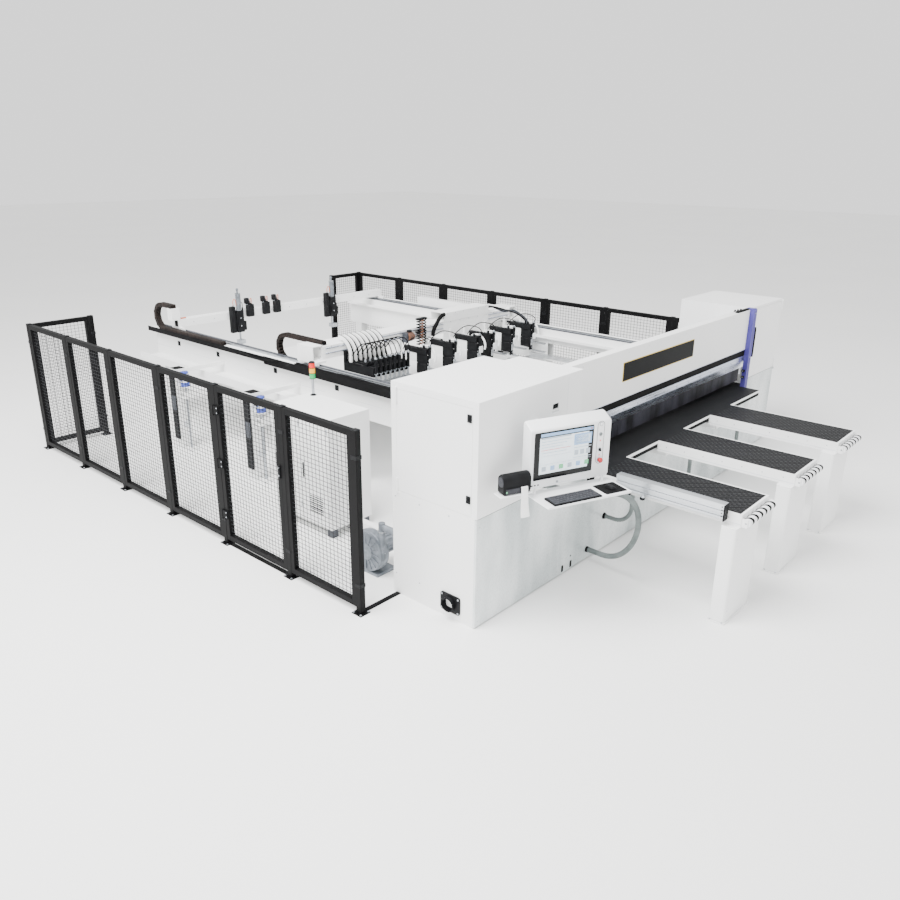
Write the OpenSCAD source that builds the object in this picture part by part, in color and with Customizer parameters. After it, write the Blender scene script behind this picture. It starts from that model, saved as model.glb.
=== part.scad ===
// Rear-loading beam saw for panels: two cabinets, a portal beam with a pressure beam, a saw
// carriage under the table, air-cushion tables, a clamp gantry, a lift table and guard fences.
// Modelled from the floor up, X along the saw line, Y towards the rear, Z up. Machine places
// are counted from the left cabinet's front corner, and placed() moves them to the origin,
// which is the middle of the floor that the machine covers.

/* [Cabinets] */
// Height of both cabinets
cab_h = 2000; // [1900:10:2200]
// Thickness of the cabinet panels with their folded edges
cab_wall = 30; // [20:1:40]
// Height of the joint between the lower and upper front panels
split_z = 1013; // [1000:1:1060]
// Width of the left cabinet's deep part
lcab_w = 1223; // [1180:5:1300]
// Depth of the left cabinet
lcab_d = 965; // [900:5:1050]
// Width of the left cabinet's shallow part, beside the beam
lstep_w = 228; // [180:4:280]
// Depth of the left cabinet's shallow part
lstep_d = 714; // [690:2:800]
// Clear width between the cabinets
bay_w = 4149; // [3900:1:4400]
// Width of the right cabinet
rcab_w = 1040; // [950:10:1200]
// Depth of the right cabinet
rcab_d = 960; // [880:10:1100]
// How far the right cabinet stands back
rcab_y = 170; // [150:2:190]
// Thickness of a cabinet door
door_t = 22; // [16:1:28]
// Thickness of a front panel
panel_t = 22; // [16:1:28]
// Radius of the dust outlet's bore
port_r = 60; // [40:1:70]
// Length of the dust outlet's spigot
port_len = 55; // [40:1:80]

/* [Portal beam] */
// Front face of the beam's cover
cover_y = 130; // [125:1:140]
// Bottom edge of the beam's cover
cover_z = 1500; // [1490:2:1530]
// Thickness of the cover's sheet
cover_t = 20; // [12:1:24]
// Front face of the beam's box section
beam_y = 200; // [190:1:215]
// Depth of the beam's box section
beam_d = 420; // [400:5:450]
// Height of the beam's box section
beam_box_h = 260; // [230:10:280]
// How far the beam's box lies under the cabinets' top
beam_drop = 180; // [160:5:190]
// Depth of the cover's top fold
fold_d = 100; // [96:2:130]
// Wall of the beam's box section
beam_wall = 16; // [10:1:25]
// Height of the black band under the cover
band_h = 80; // [60:2:95]
// Height of the bright profile under the band
bright_h = 75; // [60:1:85]
// Length of the curtain strips
strip_len = 190; // [150:2:205]
// Width of one curtain strip
strip_w = 98; // [80:1:120]
// Width of the coloured guide column
column_w = 80; // [60:2:100]

/* [Pressure beam] */
// Height of the pressure beam's pad above the table at rest
press_gap = 118; // [90:1:130]
// Stroke of the pressure beam
press_stroke = 110; // [80:1:112]
// Height of the pressure beam
press_h = 250; // [220:2:250]
// Depth of the front pressure bar
press_front = 205; // [190:1:208]
// Depth of the rear pressure bar
press_rear = 150; // [120:2:180]
// Thickness of the pressure pads
pad_t = 8; // [5:1:12]

/* [Saw table] */
// Working height of the table
table_z = 1015; // [1000:1:1050]
// Thickness of the saw table
table_t = 30; // [22:1:36]
// How far the table reaches in front of the left cabinet
table_front = 130; // [110:2:150]
// Rear edge of the saw table
table_rear = 900; // [850:5:930]
// Place of the saw line
saw_y = 430; // [426:1:434]
// Width of the blade slot
slot_w = 20; // [14:1:24]

/* [Saw carriage] */
// Radius of the main blade
blade_r = 225; // [200:1:230]
// Thickness of the main blade
blade_t = 4; // [3:0.1:5]
// Radius of the scoring blade
scorer_r = 90; // [75:1:95]
// Radius of the main arbor
arbor_r = 20; // [15:1:25]
// Radius of the scoring arbor
scorer_arbor_r = 12; // [8:1:16]
// Radius of both belt pulleys
pulley_r = 50; // [40:1:58]
// Thickness of the drive belt
belt_t = 6; // [4:0.5:8]
// Stroke of the saw lift
saw_stroke = 130; // [90:1:135]
// Place of the main blade when it is parked
park_x = 700; // [660:5:740]
// Distance from the main blade to the scoring blade
scorer_gap = 340; // [335:1:360]
// Radius of the saw motor
motor_r = 95; // [80:1:100]

/* [Air tables] */
// Number of air tables
air_n = 3; // [2:1:3]
// Left side of the first air table
air_x = 1561; // [1550:1:1600]
// Distance from one air table to the next
air_pitch = 1215; // [1150:5:1280]
// Width of an air table
air_w = 580; // [520:5:640]
// Front end of the air tables
air_front = 1540; // [1450:5:1700]
// Height of an air table's frame
air_h = 98; // [80:1:120]
// Thickness of the black top
top_t = 12; // [8:1:18]
// Width of the light edge round the black top
edge_w = 20; // [14:1:28]
// Wall of the air box under the top
airbox_wall = 8; // [4:1:12]
// Radius of the roller at a table's front end
nose_r = 36; // [28:1:40]
// Width of a leg
leg_w = 510; // [440:5:520]
// Thickness of a leg
leg_t = 140; // [110:5:170]
// How far a leg stands out to the left of its table
leg_out = 64; // [40:2:66]
// Wall of a leg
leg_wall = 6; // [4:1:10]
// Width of the squaring fence
square_w = 75; // [60:1:80]
// Height of the squaring fence
square_h = 130; // [100:2:150]
// Length of the squaring fence
square_len = 1010; // [900:5:1100]

/* [Console] */
// Width of the console's housing
con_w = 780; // [740:5:800]
// Height of the console's front face
con_h = 500; // [490:5:560]
// Depth of the console's housing
con_d = 125; // [90:1:128]
// Bottom of the console's housing
con_z = 1235; // [1215:1:1260]
// Angle that the console is turned to the left
con_turn = 21.5; // [15:0.5:22]
// Width of the visible screen
screen_w = 525; // [480:5:545]
// Height of the visible screen
screen_h = 355; // [330:5:365]
// Width of the keyboard tray
tray_w = 825; // [780:5:850]
// Depth of the keyboard tray
tray_d = 350; // [320:5:370]
// Radius of the swivel pin
pivot_r = 22; // [16:1:26]
// Radius of the emergency stop's mushroom
stop_r = 22; // [18:1:24]
// Radius of a push button
button_r = 13; // [10:1:15]
// Stroke of a push button
button_stroke = 4; // [3:0.5:5]
// Radius of the ribbed hose over its ribs
hose_r = 27; // [22:1:30]

/* [Side beams] */
// Width of a side beam
side_w = 160; // [140:2:180]
// Height of a side beam
side_h = 460; // [420:5:480]
// Top of the side beams
side_z = 1330; // [1310:1:1350]
// Front end of the side beams
side_y0 = 960; // [940:5:1000]
// Rear end of the side beams
side_y1 = 7560; // [7300:10:7600]
// Distance from a cabinet to the side beam
side_gap = 49; // [40:1:70]
// Wall of a side beam
side_wall = 10; // [6:1:14]
// Height of the guide rails
rail_h = 22; // [18:1:28]
// Height of the rack under the pinions
rack_h = 15; // [10:1:18]
// Width of a side beam's leg
side_leg = 150; // [120:5:160]

/* [Clamp gantry] */
// Place of the gantry's front face
gantry_y = 3860; // [3840:5:3900]
// Depth of the gantry's beam
gantry_d = 300; // [260:5:320]
// Height of the gantry's beam
gantry_h = 160; // [150:2:165]
// Radius of the pinions
pinion_r = 40; // [34:1:42]
// Radius of the pinion shaft
shaft_r = 14; // [10:1:18]
// Width of a clamp's plate
clamp_w = 44; // [36:1:50]
// Reach of the clamp jaws in front of their plates
clamp_reach = 260; // [200:5:290]
// Opening of the clamp jaws
jaw_open = 110; // [80:1:120]

/* [Lift table] */
// Top of the lift table's deck at rest
deck_z = 850; // [800:5:855]
// Thickness of the deck
deck_t = 30; // [20:1:40]
// Stroke of the lift table
lift_stroke = 450; // [300:10:500]
// Front edge of the deck
deck_y0 = 3400; // [3380:10:3500]
// Rear edge of the deck
deck_y1 = 6700; // [6500:10:6800]
// Radius of the lifting screws
screw_r = 15; // [12:1:20]
// Place of the left lifting screws
screw_xl = 800; // [760:5:860]
// Place of the front lifting screws
screw_y0 = 4000; // [3900:5:4100]
// Place of the rear lifting screws
screw_y1 = 5660; // [5560:5:5760]
// Height of the lift columns
post_h = 1110; // [1080:5:1150]
// Section of the lift columns
post_w = 150; // [120:2:170]

/* [Feeder] */
// Place of the feeder's beam
feed_y = 6900; // [6880:5:6950]
// Section of the feeder's beam
feed_s = 110; // [90:1:130]
// Stroke of the feeder's fingers
finger_stroke = 220; // [150:5:240]

/* [Fences] */
// Height of the guard fences
fence_h = 1697; // [1600:1:1800]
// Place of the left fence
fence_xl = -467; // [-520:1:-440]
// Place of the right fence
fence_xr = 5863; // [5840:1:5900]
// Front end of the left fence
fence_y0 = 903; // [880:1:960]
// Width of the left fence's first panel
fence_first = 964; // [900:2:1000]
// Distance between the other posts of the left fence
fence_pitch = 1052; // [1000:1:1100]
// Front end of the right fence
fence_yr = 1360; // [1340:5:1400]
// Distance between the posts of the right fence
fence_pitch_r = 1078; // [1000:1:1080]
// Width of a post
post_s = 50; // [40:1:60]
// Width of a panel's frame tube
stile = 30; // [20:1:36]
// Thickness of the mesh
mesh_t = 4; // [3:0.5:6]
// Width of a bar of the mesh
mesh_bar = 8; // [5:0.5:12]
// Columns of gaps in a panel's mesh
mesh_cols = 3; // [2:1:5]
// Rows of gaps in a panel's mesh
mesh_rows = 6; // [4:1:8]

/* [Services] */
// Height of the electrical cabinet behind the left cabinet
box_h = 1290; // [1200:5:1350]
// Width of the electrical cabinet
box_w = 560; // [500:5:600]
// Depth of the electrical cabinet
box_d = 920; // [850:5:1000]
// Radius of the ring blower
blower_r = 200; // [170:2:215]
// Radius of a signal lamp
lamp_r = 32; // [25:1:36]
// Height of a signal lamp
lamp_h = 58; // [45:1:65]

/* [Hidden] */

seam = 0.4;
air_gap = 0.3;
deep = 1;
lcab_x1 = lcab_w + lstep_w;
rcab_x = lcab_x1 + bay_w;
rcab_x1 = rcab_x + rcab_w;
bay_mid = (lcab_x1 + rcab_x) / 2;
foot = 60;
machine_x0 = fence_xl - foot;
machine_x1 = rcab_x1;
fence_yl1 = fence_y0 + fence_first + 5 * fence_pitch;
fence_yr1 = fence_yr + 6 * fence_pitch_r;
nose_y = -air_front - nose_r - 2;
machine_y0 = nose_y - nose_r;
machine_y1 = max(fence_yl1, fence_yr1) + foot;
mid_x = (machine_x0 + machine_x1) / 2;
mid_y = (machine_y0 + machine_y1) / 2;

module placed() {
    translate([-mid_x, -mid_y, 0]) children();
}

// A box from its low corner to its high corner
module span(a, b) {
    translate(a) cube(b - a);
}

// A box tube from its low corner to its high corner, open at both ends of one axis
module tube(a, b, wall, axis) {
    w = [axis == 0 ? -deep : wall, axis == 1 ? -deep : wall, axis == 2 ? -deep : wall];
    difference() {
        span(a, b);
        span(a + w, b - w);
    }
}

// A cylinder along Y that starts at a point
module rod_y(p, r, len) {
    translate(p) rotate([-90, 0, 0]) cylinder(r = r, h = len, $fn = 48);
}

// A cylinder along X that starts at a point
module rod_x(p, r, len) {
    translate(p) rotate([0, 90, 0]) cylinder(r = r, h = len, $fn = 48);
}

// A cylinder along Z that starts at a point
module rod_z(p, r, len) {
    translate(p) cylinder(r = r, h = len, $fn = 48);
}

// The left cabinet: folded panels that meet at seams, open to the beam's bay and on its left
door_y0 = 62;
door_y1 = lcab_d - 60;
door_z0 = split_z + 10;
door_z1 = cab_h - 60;
pass_z = 1300;

module left_cabinet() {
    placed() color("whitesmoke") {
        span([0, 0, cab_h - cab_wall], [lcab_w, lcab_d, cab_h]);
        span([lcab_w + seam, 0, cab_h - cab_wall], [lcab_x1, lstep_d, cab_h]);
        span([0, lcab_d - cab_wall, 0], [lcab_w, lcab_d, cab_h - cab_wall - seam]);
        span([lcab_w + seam, lstep_d - cab_wall, 0], [lcab_x1, lstep_d, cab_h - cab_wall - seam]);
        span([lcab_w - cab_wall, lstep_d, pass_z],
             [lcab_w, lcab_d - cab_wall - seam, cab_h - cab_wall - seam]);
        span([lcab_x1 - cab_wall, panel_t + seam, pass_z],
             [lcab_x1, lstep_d - cab_wall - seam, cab_h - cab_wall - seam]);
        span([0, panel_t + seam, 0], [cab_wall, lcab_d - cab_wall - seam, door_z0 - seam]);
        span([0, panel_t + seam, door_z0], [cab_wall, door_y0 - 2, cab_h - cab_wall - seam]);
        span([0, door_y1 + 2, door_z0],
             [cab_wall, lcab_d - cab_wall - seam, cab_h - cab_wall - seam]);
        span([0, door_y0 - 2 + seam, door_z1 + 2],
             [cab_wall, door_y1 + 2 - seam, cab_h - cab_wall - seam]);
        for (z = [door_z0 - 20 - seam, door_z1 + 2])
            span([-2 * hinge_out, door_y1 - 6 - hinge_r, z], [0, door_y1 - 6 + hinge_r, z + 20]);
    }
}

pull_x = 1000;
pull_z = 1700;
pull_w = 90;
pull_h = 70;

module front_panels() {
    placed() {
        color("white") {
            difference() {
                span([0, 0, split_z + 3], [lcab_x1, panel_t, cab_h - cab_wall - seam]);
                span([pull_x, -deep, pull_z], [pull_x + pull_w, panel_t - 8, pull_z + pull_h]);
            }
            span([pull_x + 8, 2, pull_z + 6], [pull_x + pull_w - 8, panel_t - 8, pull_z + 20]);
        }
        color("gainsboro") {
            span([0, 0, 12], [lcab_x1, panel_t, split_z - 3]);
            span([rcab_x, rcab_y, 12], [rcab_x1, rcab_y + panel_t, split_z + 37]);
            span([rcab_x1 - 24, rcab_y - 18, split_z + 17], [rcab_x1, rcab_y, split_z + 37]);
        }
    }
}

// The service door in the left side, hinged on its rear edge
hinge_r = 9;
hinge_len = 120;
hinge_out = hinge_r + air_gap;
hinge_z = [door_z0, door_z1 + 2 - air_gap - hinge_len];

module left_side_door() {
    placed() color("white") {
        difference() {
            span([0, door_y0, door_z0 + 2], [door_t, door_y1, door_z1]);
            span([4, door_y0 + 25, door_z0 + 27], [door_t + deep, door_y1 - 25, door_z1 - 25]);
        }
        for (z = hinge_z) {
            rod_z([-hinge_out, door_y1 - 6, z], hinge_r, hinge_len);
            span([-hinge_r, door_y1 - 14, z + 20], [0, door_y1 - 2, z + hinge_len - 20]);
        }
    }
}

latch_z = [1169, 1856];

module side_door_latches() {
    placed() color("#1c1c1e") for (z = latch_z) {
        span([-9, door_y0 + 8, z - 32], [-air_gap, door_y0 + 50, z + 32]);
        rod_x([-18, door_y0 + 29, z], 9, 10);
    }
}

port_y = 268;
port_z = 150;

module dust_port() {
    placed() color("#1a1a1c") {
        difference() {
            union() {
                span([-14, port_y - 110, port_z - 85], [-air_gap, port_y + 110, port_z + 85]);
                rod_x([-port_len, port_y, port_z], port_r + 6, port_len - 10);
            }
            rod_x([-port_len - deep, port_y, port_z], port_r, port_len + 2);
        }
    }
}

module right_cabinet() {
    y1 = rcab_y + rcab_d;
    placed() color("whitesmoke") {
        span([rcab_x, rcab_y, cab_h - cab_wall], [rcab_x1, y1, cab_h]);
        span([rcab_x1 - 24, rcab_y - 18, cab_h - cab_wall], [rcab_x1, rcab_y, cab_h - 10]);
        span([rcab_x, y1 - cab_wall, 0], [rcab_x1, y1, cab_h - cab_wall - seam]);
        span([rcab_x1 - cab_wall, rcab_y + 30, 0],
             [rcab_x1, y1 - cab_wall - seam, cab_h - cab_wall - seam]);
        span([rcab_x, rcab_y + 30, pass_z],
             [rcab_x + cab_wall, y1 - cab_wall - seam, cab_h - cab_wall - seam]);
    }
}

rdoor_z0 = split_z + 43;

module right_door() {
    placed() color("white") {
        difference() {
            span([rcab_x + 2, rcab_y, rdoor_z0], [rcab_x1 - 2, rcab_y + door_t, cab_h - cab_wall - 3]);
            span([rcab_x + 27, rcab_y + 4, rdoor_z0 + 25],
                 [rcab_x1 - 27, rcab_y + door_t + deep, cab_h - cab_wall - 28]);
        }
        for (z = [split_z + 37 + air_gap, cab_h - cab_wall - air_gap - hinge_len]) {
            rod_z([rcab_x1 - 12, rcab_y - hinge_out, z], hinge_r, hinge_len);
            span([rcab_x1 - 18, rcab_y - hinge_r, z + 20], [rcab_x1 - 6, rcab_y, z + hinge_len - 20]);
        }
    }
}

rhandle_x = rcab_x + 130;

module right_door_handle() {
    placed() color("#1a1a1c") {
        span([rhandle_x, rcab_y - 30, 1350], [rhandle_x + 30, rcab_y - 18, 1740]);
        for (z = [1360, 1705]) span([rhandle_x + 5, rcab_y - 18, z], [rhandle_x + 25, rcab_y, z + 25]);
    }
}

// The portal beam between the cabinets, its cover and what hangs under it
// The beam's sizes in height are for cabinets of this height, and shrink or grow with them
usual_cab_h = 2000;
beam_z1 = cab_h - beam_drop * cab_h / usual_cab_h;
beam_h = beam_box_h * cab_h / usual_cab_h;
press_x0 = lcab_x1 + 25;
press_x1 = rcab_x - 25;
guide_x = [press_x0 + 300, bay_mid, press_x1 - 300];
guide_y = beam_y + 2 + press_front + 10;
guide_r = 16;

module portal_beam() {
    z0 = beam_z1 - beam_h;
    placed() color("lightgray") {
        difference() {
            tube([lcab_x1, beam_y, z0], [rcab_x, beam_y + beam_d, beam_z1], beam_wall, 0);
            for (x = guide_x) rod_z([x, guide_y, z0 - deep], guide_r + air_gap, beam_wall + 2);
        }
        for (x = [lcab_x1 + 700, bay_mid, rcab_x - 700])
            span([x - 30, cover_y + cover_t, beam_z1 - 200], [x + 30, beam_y - seam, beam_z1 - 140]);
    }
}

module beam_cover() {
    placed() {
        color("white") span([lcab_x1, cover_y, cover_z], [rcab_x, cover_y + cover_t, cab_h - cover_t - seam]);
        color("white") span([lcab_x1, cover_y, cab_h - cover_t], [rcab_x, cover_y + fold_d, cab_h]);
        color("#141416")
            span([lcab_x1, cover_y + 4, cover_z - band_h], [rcab_x, beam_y - 4, cover_z - seam]);
    }
}

bright_z = cover_z - band_h - bright_h;
lip_z = bright_z - 100;

module bright_profile() {
    placed() color("silver") {
        span([lcab_x1, cover_y + 8, bright_z], [rcab_x, beam_y - 14, cover_z - band_h]);
        translate([lcab_x1, 0, 0]) rotate([90, 0, 90]) linear_extrude(bay_w)
            polygon([[cover_y + 12, bright_z], [beam_y - 14, bright_z],
                     [beam_y - 14, lip_z], [beam_y - 24, lip_z]]);
    }
}

strip_n = floor((bay_w - 60) / (strip_w + 2));

module curtain_strips() {
    placed() color("#1d1d20") for (i = [0 : strip_n - 1]) {
        x = lcab_x1 + 30 + i * (strip_w + 2);
        span([x, beam_y - 13.6, lip_z - strip_len + 20], [x + strip_w, beam_y - 9.6, bright_z + 20]);
    }
}

column_x = rcab_x - column_w - 75;

module guide_column() {
    y = cover_y - air_gap - 60;
    placed() {
        color("#7a74b8") difference() {
            span([column_x, y, 0], [column_x + column_w, cover_y - air_gap, cab_h + 6]);
            for (dx = [column_w * 0.25, column_w * 0.6])
                span([column_x + dx, y - deep, 20], [column_x + dx + 10, y + 8, cab_h - 10]);
        }
        color("#1c1c1e") {
            span([column_x, y + 10, cab_h + 6], [column_x + column_w, cover_y + 50, cab_h + 18]);
            span([column_x - 330, cover_y + 10, cab_h], [column_x - seam, cover_y + 50, cab_h + 18]);
            for (i = [0 : 2]) translate([column_x - 150 - 55 * i, cover_y + 60 + 13 * i, cab_h])
                rotate([90, 0, 0]) rotate_extrude(angle = 180, $fn = 32)
                    translate([22, 0]) circle(r = 6, $fn = 16);
        }
    }
}

// The pressure beam: two bars over the saw line, joined over the blade slot
press_y0 = beam_y + 2;
press_y1 = press_y0 + press_front;
press_y2 = saw_y + slot_w;
press_y3 = press_y2 + press_rear;
press_z0 = table_z + press_gap;
press_z1 = press_z0 + press_h;

module pressure_beam() {
    z0 = press_z0 + pad_t;
    placed() color("#b9bcc4") {
        tube([press_x0, press_y0, z0], [press_x1, press_y1, press_z1], 15, 0);
        tube([press_x0, press_y2, z0], [press_x1, press_y3, press_z1], 15, 0);
        span([press_x0, press_y1 + seam, press_z0 + press_h * 0.6], [press_x1, press_y2 - seam, press_z1]);
        for (x = guide_x)
            rod_z([x, guide_y, press_z1 + seam], guide_r, beam_z1 - beam_h - press_z1 + 150);
    }
}

module pressure_pads() {
    placed() color("#26262a") {
        span([press_x0, press_y0, press_z0], [press_x1, press_y1, press_z0 + pad_t]);
        span([press_x0, press_y2, press_z0], [press_x1, press_y3, press_z0 + pad_t]);
    }
}

// The base: floor beams, the front wall that carries the saw rails, and the rear wall
wall_y = 200;
wall_y1 = wall_y + 80;
rear_y1 = lstep_d - cab_wall - 4;
rear_y0 = rear_y1 - 80;
base_x0 = 150;
base_x1 = rcab_x1 - 190;
sill_h = 120;
anchor_pitch = 120;
anchor_r = 9;
anchor_x = [base_x0 + 200, base_x1 - 200];
anchor_y = 440;

module base_frame() {
    wall_z1 = table_z - table_t - 260;
    placed() color("lightgray") {
        difference() {
            union() {
                span([base_x0, wall_y, 0], [base_x1, wall_y1, sill_h]);
                span([base_x0, rear_y0, 0], [base_x1, rear_y1, sill_h]);
                for (x = [base_x0, bay_mid - 60, base_x1 - 120])
                    span([x, wall_y1, 0], [x + 120, rear_y0, sill_h - 40]);
                for (x = anchor_x)
                    span([x - 100, anchor_y - 100, 0], [x + 100, anchor_y + 100, 16]);
            }
            for (x = anchor_x, dx = [-0.5, 0.5], dy = [-0.5, 0.5])
                rod_z([x + dx * anchor_pitch, anchor_y + dy * anchor_pitch, -deep], anchor_r, sill_h + 2);
        }
        tube([base_x0, wall_y, sill_h + seam], [base_x1, wall_y1, wall_z1], 10, 0);
        for (x = [lcab_x1 + 40, bay_mid - 60, rcab_x - 160]) {
            span([x, wall_y, wall_z1 + seam], [x + 120, wall_y1, table_z - table_t]);
            span([x, rear_y0, sill_h + seam], [x + 120, rear_y1, table_z - table_t]);
        }
    }
}

module base_front_panel() {
    gland = hose_route[len(hose_route) - 1];
    placed() color("white") {
        difference() {
            union() {
                span([lcab_x1 + seam, 0, 15], [rcab_x - 2, 16, table_z - table_t]);
                rod_y(gland - [0, 16, 0], hose_r + 9, 17);
            }
            rod_y(gland - [0, 17, 0], hose_r + air_gap, 17 + air_gap);
        }
        for (x = [lcab_x1 + 60, bay_mid - 30, rcab_x - 260])
            span([x, 16 + seam, 300], [x + 60, wall_y, 360]);
    }
}

module saw_table() {
    bar_n = 7;
    bar_gap = 150;
    bar_y1 = deck_y0 - bar_gap;
    placed() color("#d9dadd") {
        x0 = lcab_x1 + seam;
        x1 = column_x - 10;
        z0 = table_z - table_t;
        slot_y = saw_y - slot_w / 2;
        span([x0, -table_front, z0], [x1, 10, table_z]);
        span([x0, 10 + seam, z0], [x1, slot_y, table_z]);
        span([x1 + seam, cover_y + 10, z0], [rcab_x - seam, slot_y, table_z]);
        span([x0, slot_y + slot_w, z0], [rcab_x - seam, table_rear, table_z]);
        for (i = [0 : bar_n - 1]) {
            x = lcab_x1 + 420 + i * (bay_w - 900) / (bar_n - 1);
            span([x, table_rear + seam, table_z - 50], [x + 60, bar_y1, table_z]);
        }
        for (y = [1800, bar_y1 - 80])
            span([lcab_x1 + side_gap + side_w + seam, y, table_z - 130],
                 [rcab_x - side_gap - side_w - seam, y + 80, table_z - 50 - seam]);
    }
}

saw_rail_z = [300, 590];
saw_rail_t = 25;

// The saw carriage, its lift and the two blades, parked inside the left cabinet
car_y = wall_y1 + saw_rail_t + 12;
car_x0 = park_x - 160;
car_x1 = park_x + scorer_gap + 110;
lift_y = car_y + 36;
arbor_z = table_z - blade_r - 15;
scorer_z = arbor_z + 18;
motor_z = 345 + motor_r - 5;

module saw_carriage() {
    rail_y = wall_y1 + saw_rail_t + air_gap;
    placed() color("#c7c9cd") {
        span([car_x0, car_y, saw_rail_z[0] - 20], [car_x1, car_y + 20, 700]);
        for (z = saw_rail_z, x = [car_x0 + 20, car_x1 - 120])
            span([x, rail_y, z - 5], [x + 100, car_y - seam, z + 45]);
        for (x = [car_x0 + 40, car_x1 - 70])
            span([x, car_y + 20 + seam, 320], [x + 30, lift_y - air_gap, 690]);
    }
}

module saw_lift() {
    placed() color("#aeb2b8") {
        difference() {
            union() {
                span([car_x0 + 30, lift_y, 380], [car_x1 - 30, lift_y + 18, arbor_z + 40]);
                rod_y([park_x, lift_y + 18 - deep, arbor_z], 62, saw_y - lift_y - 48);
                rod_y([park_x + scorer_gap, lift_y + 18 - deep, scorer_z], 40, saw_y - lift_y - 48);
            }
            rod_y([park_x, lift_y - deep, arbor_z], arbor_r + air_gap, 200);
            rod_y([park_x + scorer_gap, lift_y - deep, scorer_z], scorer_arbor_r + air_gap, 200);
            rod_y([park_x, lift_y - deep, motor_z], 30, 200);
        }
    }
}

belt_y = saw_y + 30;

module saw_motor() {
    placed() color("#3d4046") {
        rod_y([park_x, lift_y + 18 + seam, motor_z], motor_r, belt_y - 12 - lift_y - 18);
        rod_y([park_x, belt_y - 12, motor_z], arbor_r, 8);
        rod_y([park_x, belt_y - 4, motor_z], pulley_r, 24);
    }
}

module drive_belt() {
    r = pulley_r + air_gap;
    placed() color("#101012") difference() {
        union() {
            for (z = [motor_z, arbor_z]) rod_y([park_x, belt_y, z], r + belt_t, 16);
            span([park_x - r - belt_t, belt_y, motor_z], [park_x + r + belt_t, belt_y + 16, arbor_z]);
        }
        for (z = [motor_z, arbor_z]) rod_y([park_x, belt_y - deep, z], r, 18);
        span([park_x - r, belt_y - deep, motor_z], [park_x + r, belt_y + 17, arbor_z]);
    }
}

module main_blade() {
    placed() color("#d5d7da") union() {
        rod_y([park_x, saw_y - blade_t / 2, arbor_z], blade_r, blade_t);
        for (i = [0 : 23]) translate([park_x, saw_y - blade_t / 2 - 0.3, arbor_z]) rotate([0, i * 15, 0])
            translate([blade_r - 4, 0, 0]) cube([7, blade_t + 0.6, 5]);
        rod_y([park_x, saw_y - 22, arbor_z], 58, 44);
        rod_y([park_x, lift_y + 2, arbor_z], arbor_r, belt_y - 4 - lift_y - 2);
        rod_y([park_x, belt_y - 4, arbor_z], pulley_r, 24);
    }
}

module scoring_blade() {
    placed() color("#c9cbcf") union() {
        rod_y([park_x + scorer_gap, saw_y - blade_t / 2, scorer_z], scorer_r, blade_t);
        rod_y([park_x + scorer_gap, saw_y - 18, scorer_z], 34, 36);
        rod_y([park_x + scorer_gap, lift_y + 2, scorer_z], scorer_arbor_r, saw_y - lift_y - 18);
    }
}

// The air tables in front: light frames with an air box, black tops, legs and nose rollers
air_z0 = table_z - top_t - air_h;

module air_tables() {
    placed() color("#eceef0") for (i = [0 : air_n - 1]) {
        x = air_x + i * air_pitch;
        difference() {
            span([x, -air_front, air_z0], [x + air_w, -table_front - seam, table_z]);
            span([x + edge_w, -air_front + edge_w, table_z - top_t],
                 [x + air_w - edge_w, -table_front - seam + deep, table_z + deep]);
            span([x + airbox_wall, -air_front + airbox_wall, air_z0 + airbox_wall],
                 [x + air_w - airbox_wall, -table_front - 30, table_z - top_t - airbox_wall]);
            rod_z([x + duct_x, duct_y, air_z0 - deep], duct_r - 4, airbox_wall + 2);
        }
        for (ex = [x + 6, x + air_w - 16]) difference() {
            span([ex, nose_y - 14, air_z0 + 4], [ex + 10, -air_front - seam, air_z0 + 2 * nose_r + 8]);
            rod_x([ex - deep, nose_y, nose_z], axle_r + air_gap, 12);
        }
        span([x + 60, -200, air_z0 - 60], [x + air_w - 60, 0, air_z0 - seam]);
    }
}

module air_table_tops() {
    placed() color("#17181a") for (i = [0 : air_n - 1]) {
        x = air_x + i * air_pitch;
        span([x + edge_w + seam, -air_front + edge_w + seam, table_z - top_t + seam],
             [x + air_w - edge_w - seam, -table_front - seam, table_z]);
    }
}

leg_y0 = -air_front + 4;

module table_legs() {
    placed() color("#f1f2f4") for (i = [0 : air_n - 1]) {
        x = air_x + i * air_pitch - leg_out;
        z1 = air_z0 - 14;
        tube([x, leg_y0, 14 + seam], [x + leg_w, leg_y0 + leg_t, z1 - seam], leg_wall, 2);
        span([x - 10, leg_y0 - 10, 0], [x + leg_w + 10, leg_y0 + leg_t + 10, 14]);
        span([x, leg_y0, z1], [x + leg_w, leg_y0 + leg_t, air_z0]);
    }
}

nose_z = air_z0 + nose_r + 6;

axle_r = 8;

// One nose roller with its stub axles, which turn in the bores of the table's end brackets
module nose_roller(i) {
    x = air_x + i * air_pitch;
    placed() color("white") {
        rod_x([x + 16 + air_gap, nose_y, nose_z], nose_r, air_w - 32 - 2 * air_gap);
        rod_x([x + 8, nose_y, nose_z], axle_r, air_w - 16);
    }
}

module squaring_fence() {
    x1 = air_x - air_gap;
    y0 = -air_front + 130;
    z0 = air_z0 + 60;
    placed() {
        color("#c4c7cb") difference() {
            span([x1 - square_w, y0, z0], [x1, y0 + square_len, z0 + square_h]);
            for (z = [z0 + 20, z0 + 70])
                span([x1 - square_w - deep, y0 - deep, z],
                     [x1 - square_w + 12, y0 + square_len + deep, z + 12]);
        }
        color("#18181a") {
            span([x1 - square_w, y0 - 7, z0], [x1, y0, z0 + square_h]);
            for (y = [y0 + square_len * 0.75, y0 + square_len * 0.9])
                rod_z([x1 - 30, y, z0 - 40], 18, 40);
        }
    }
}

// Round hoses from the base to each air table: down from the box, round, and into the panel
duct_r = 22;
duct_bend = 180;
duct_z = 560;
duct_x = 455;
duct_y = -300;

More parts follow.
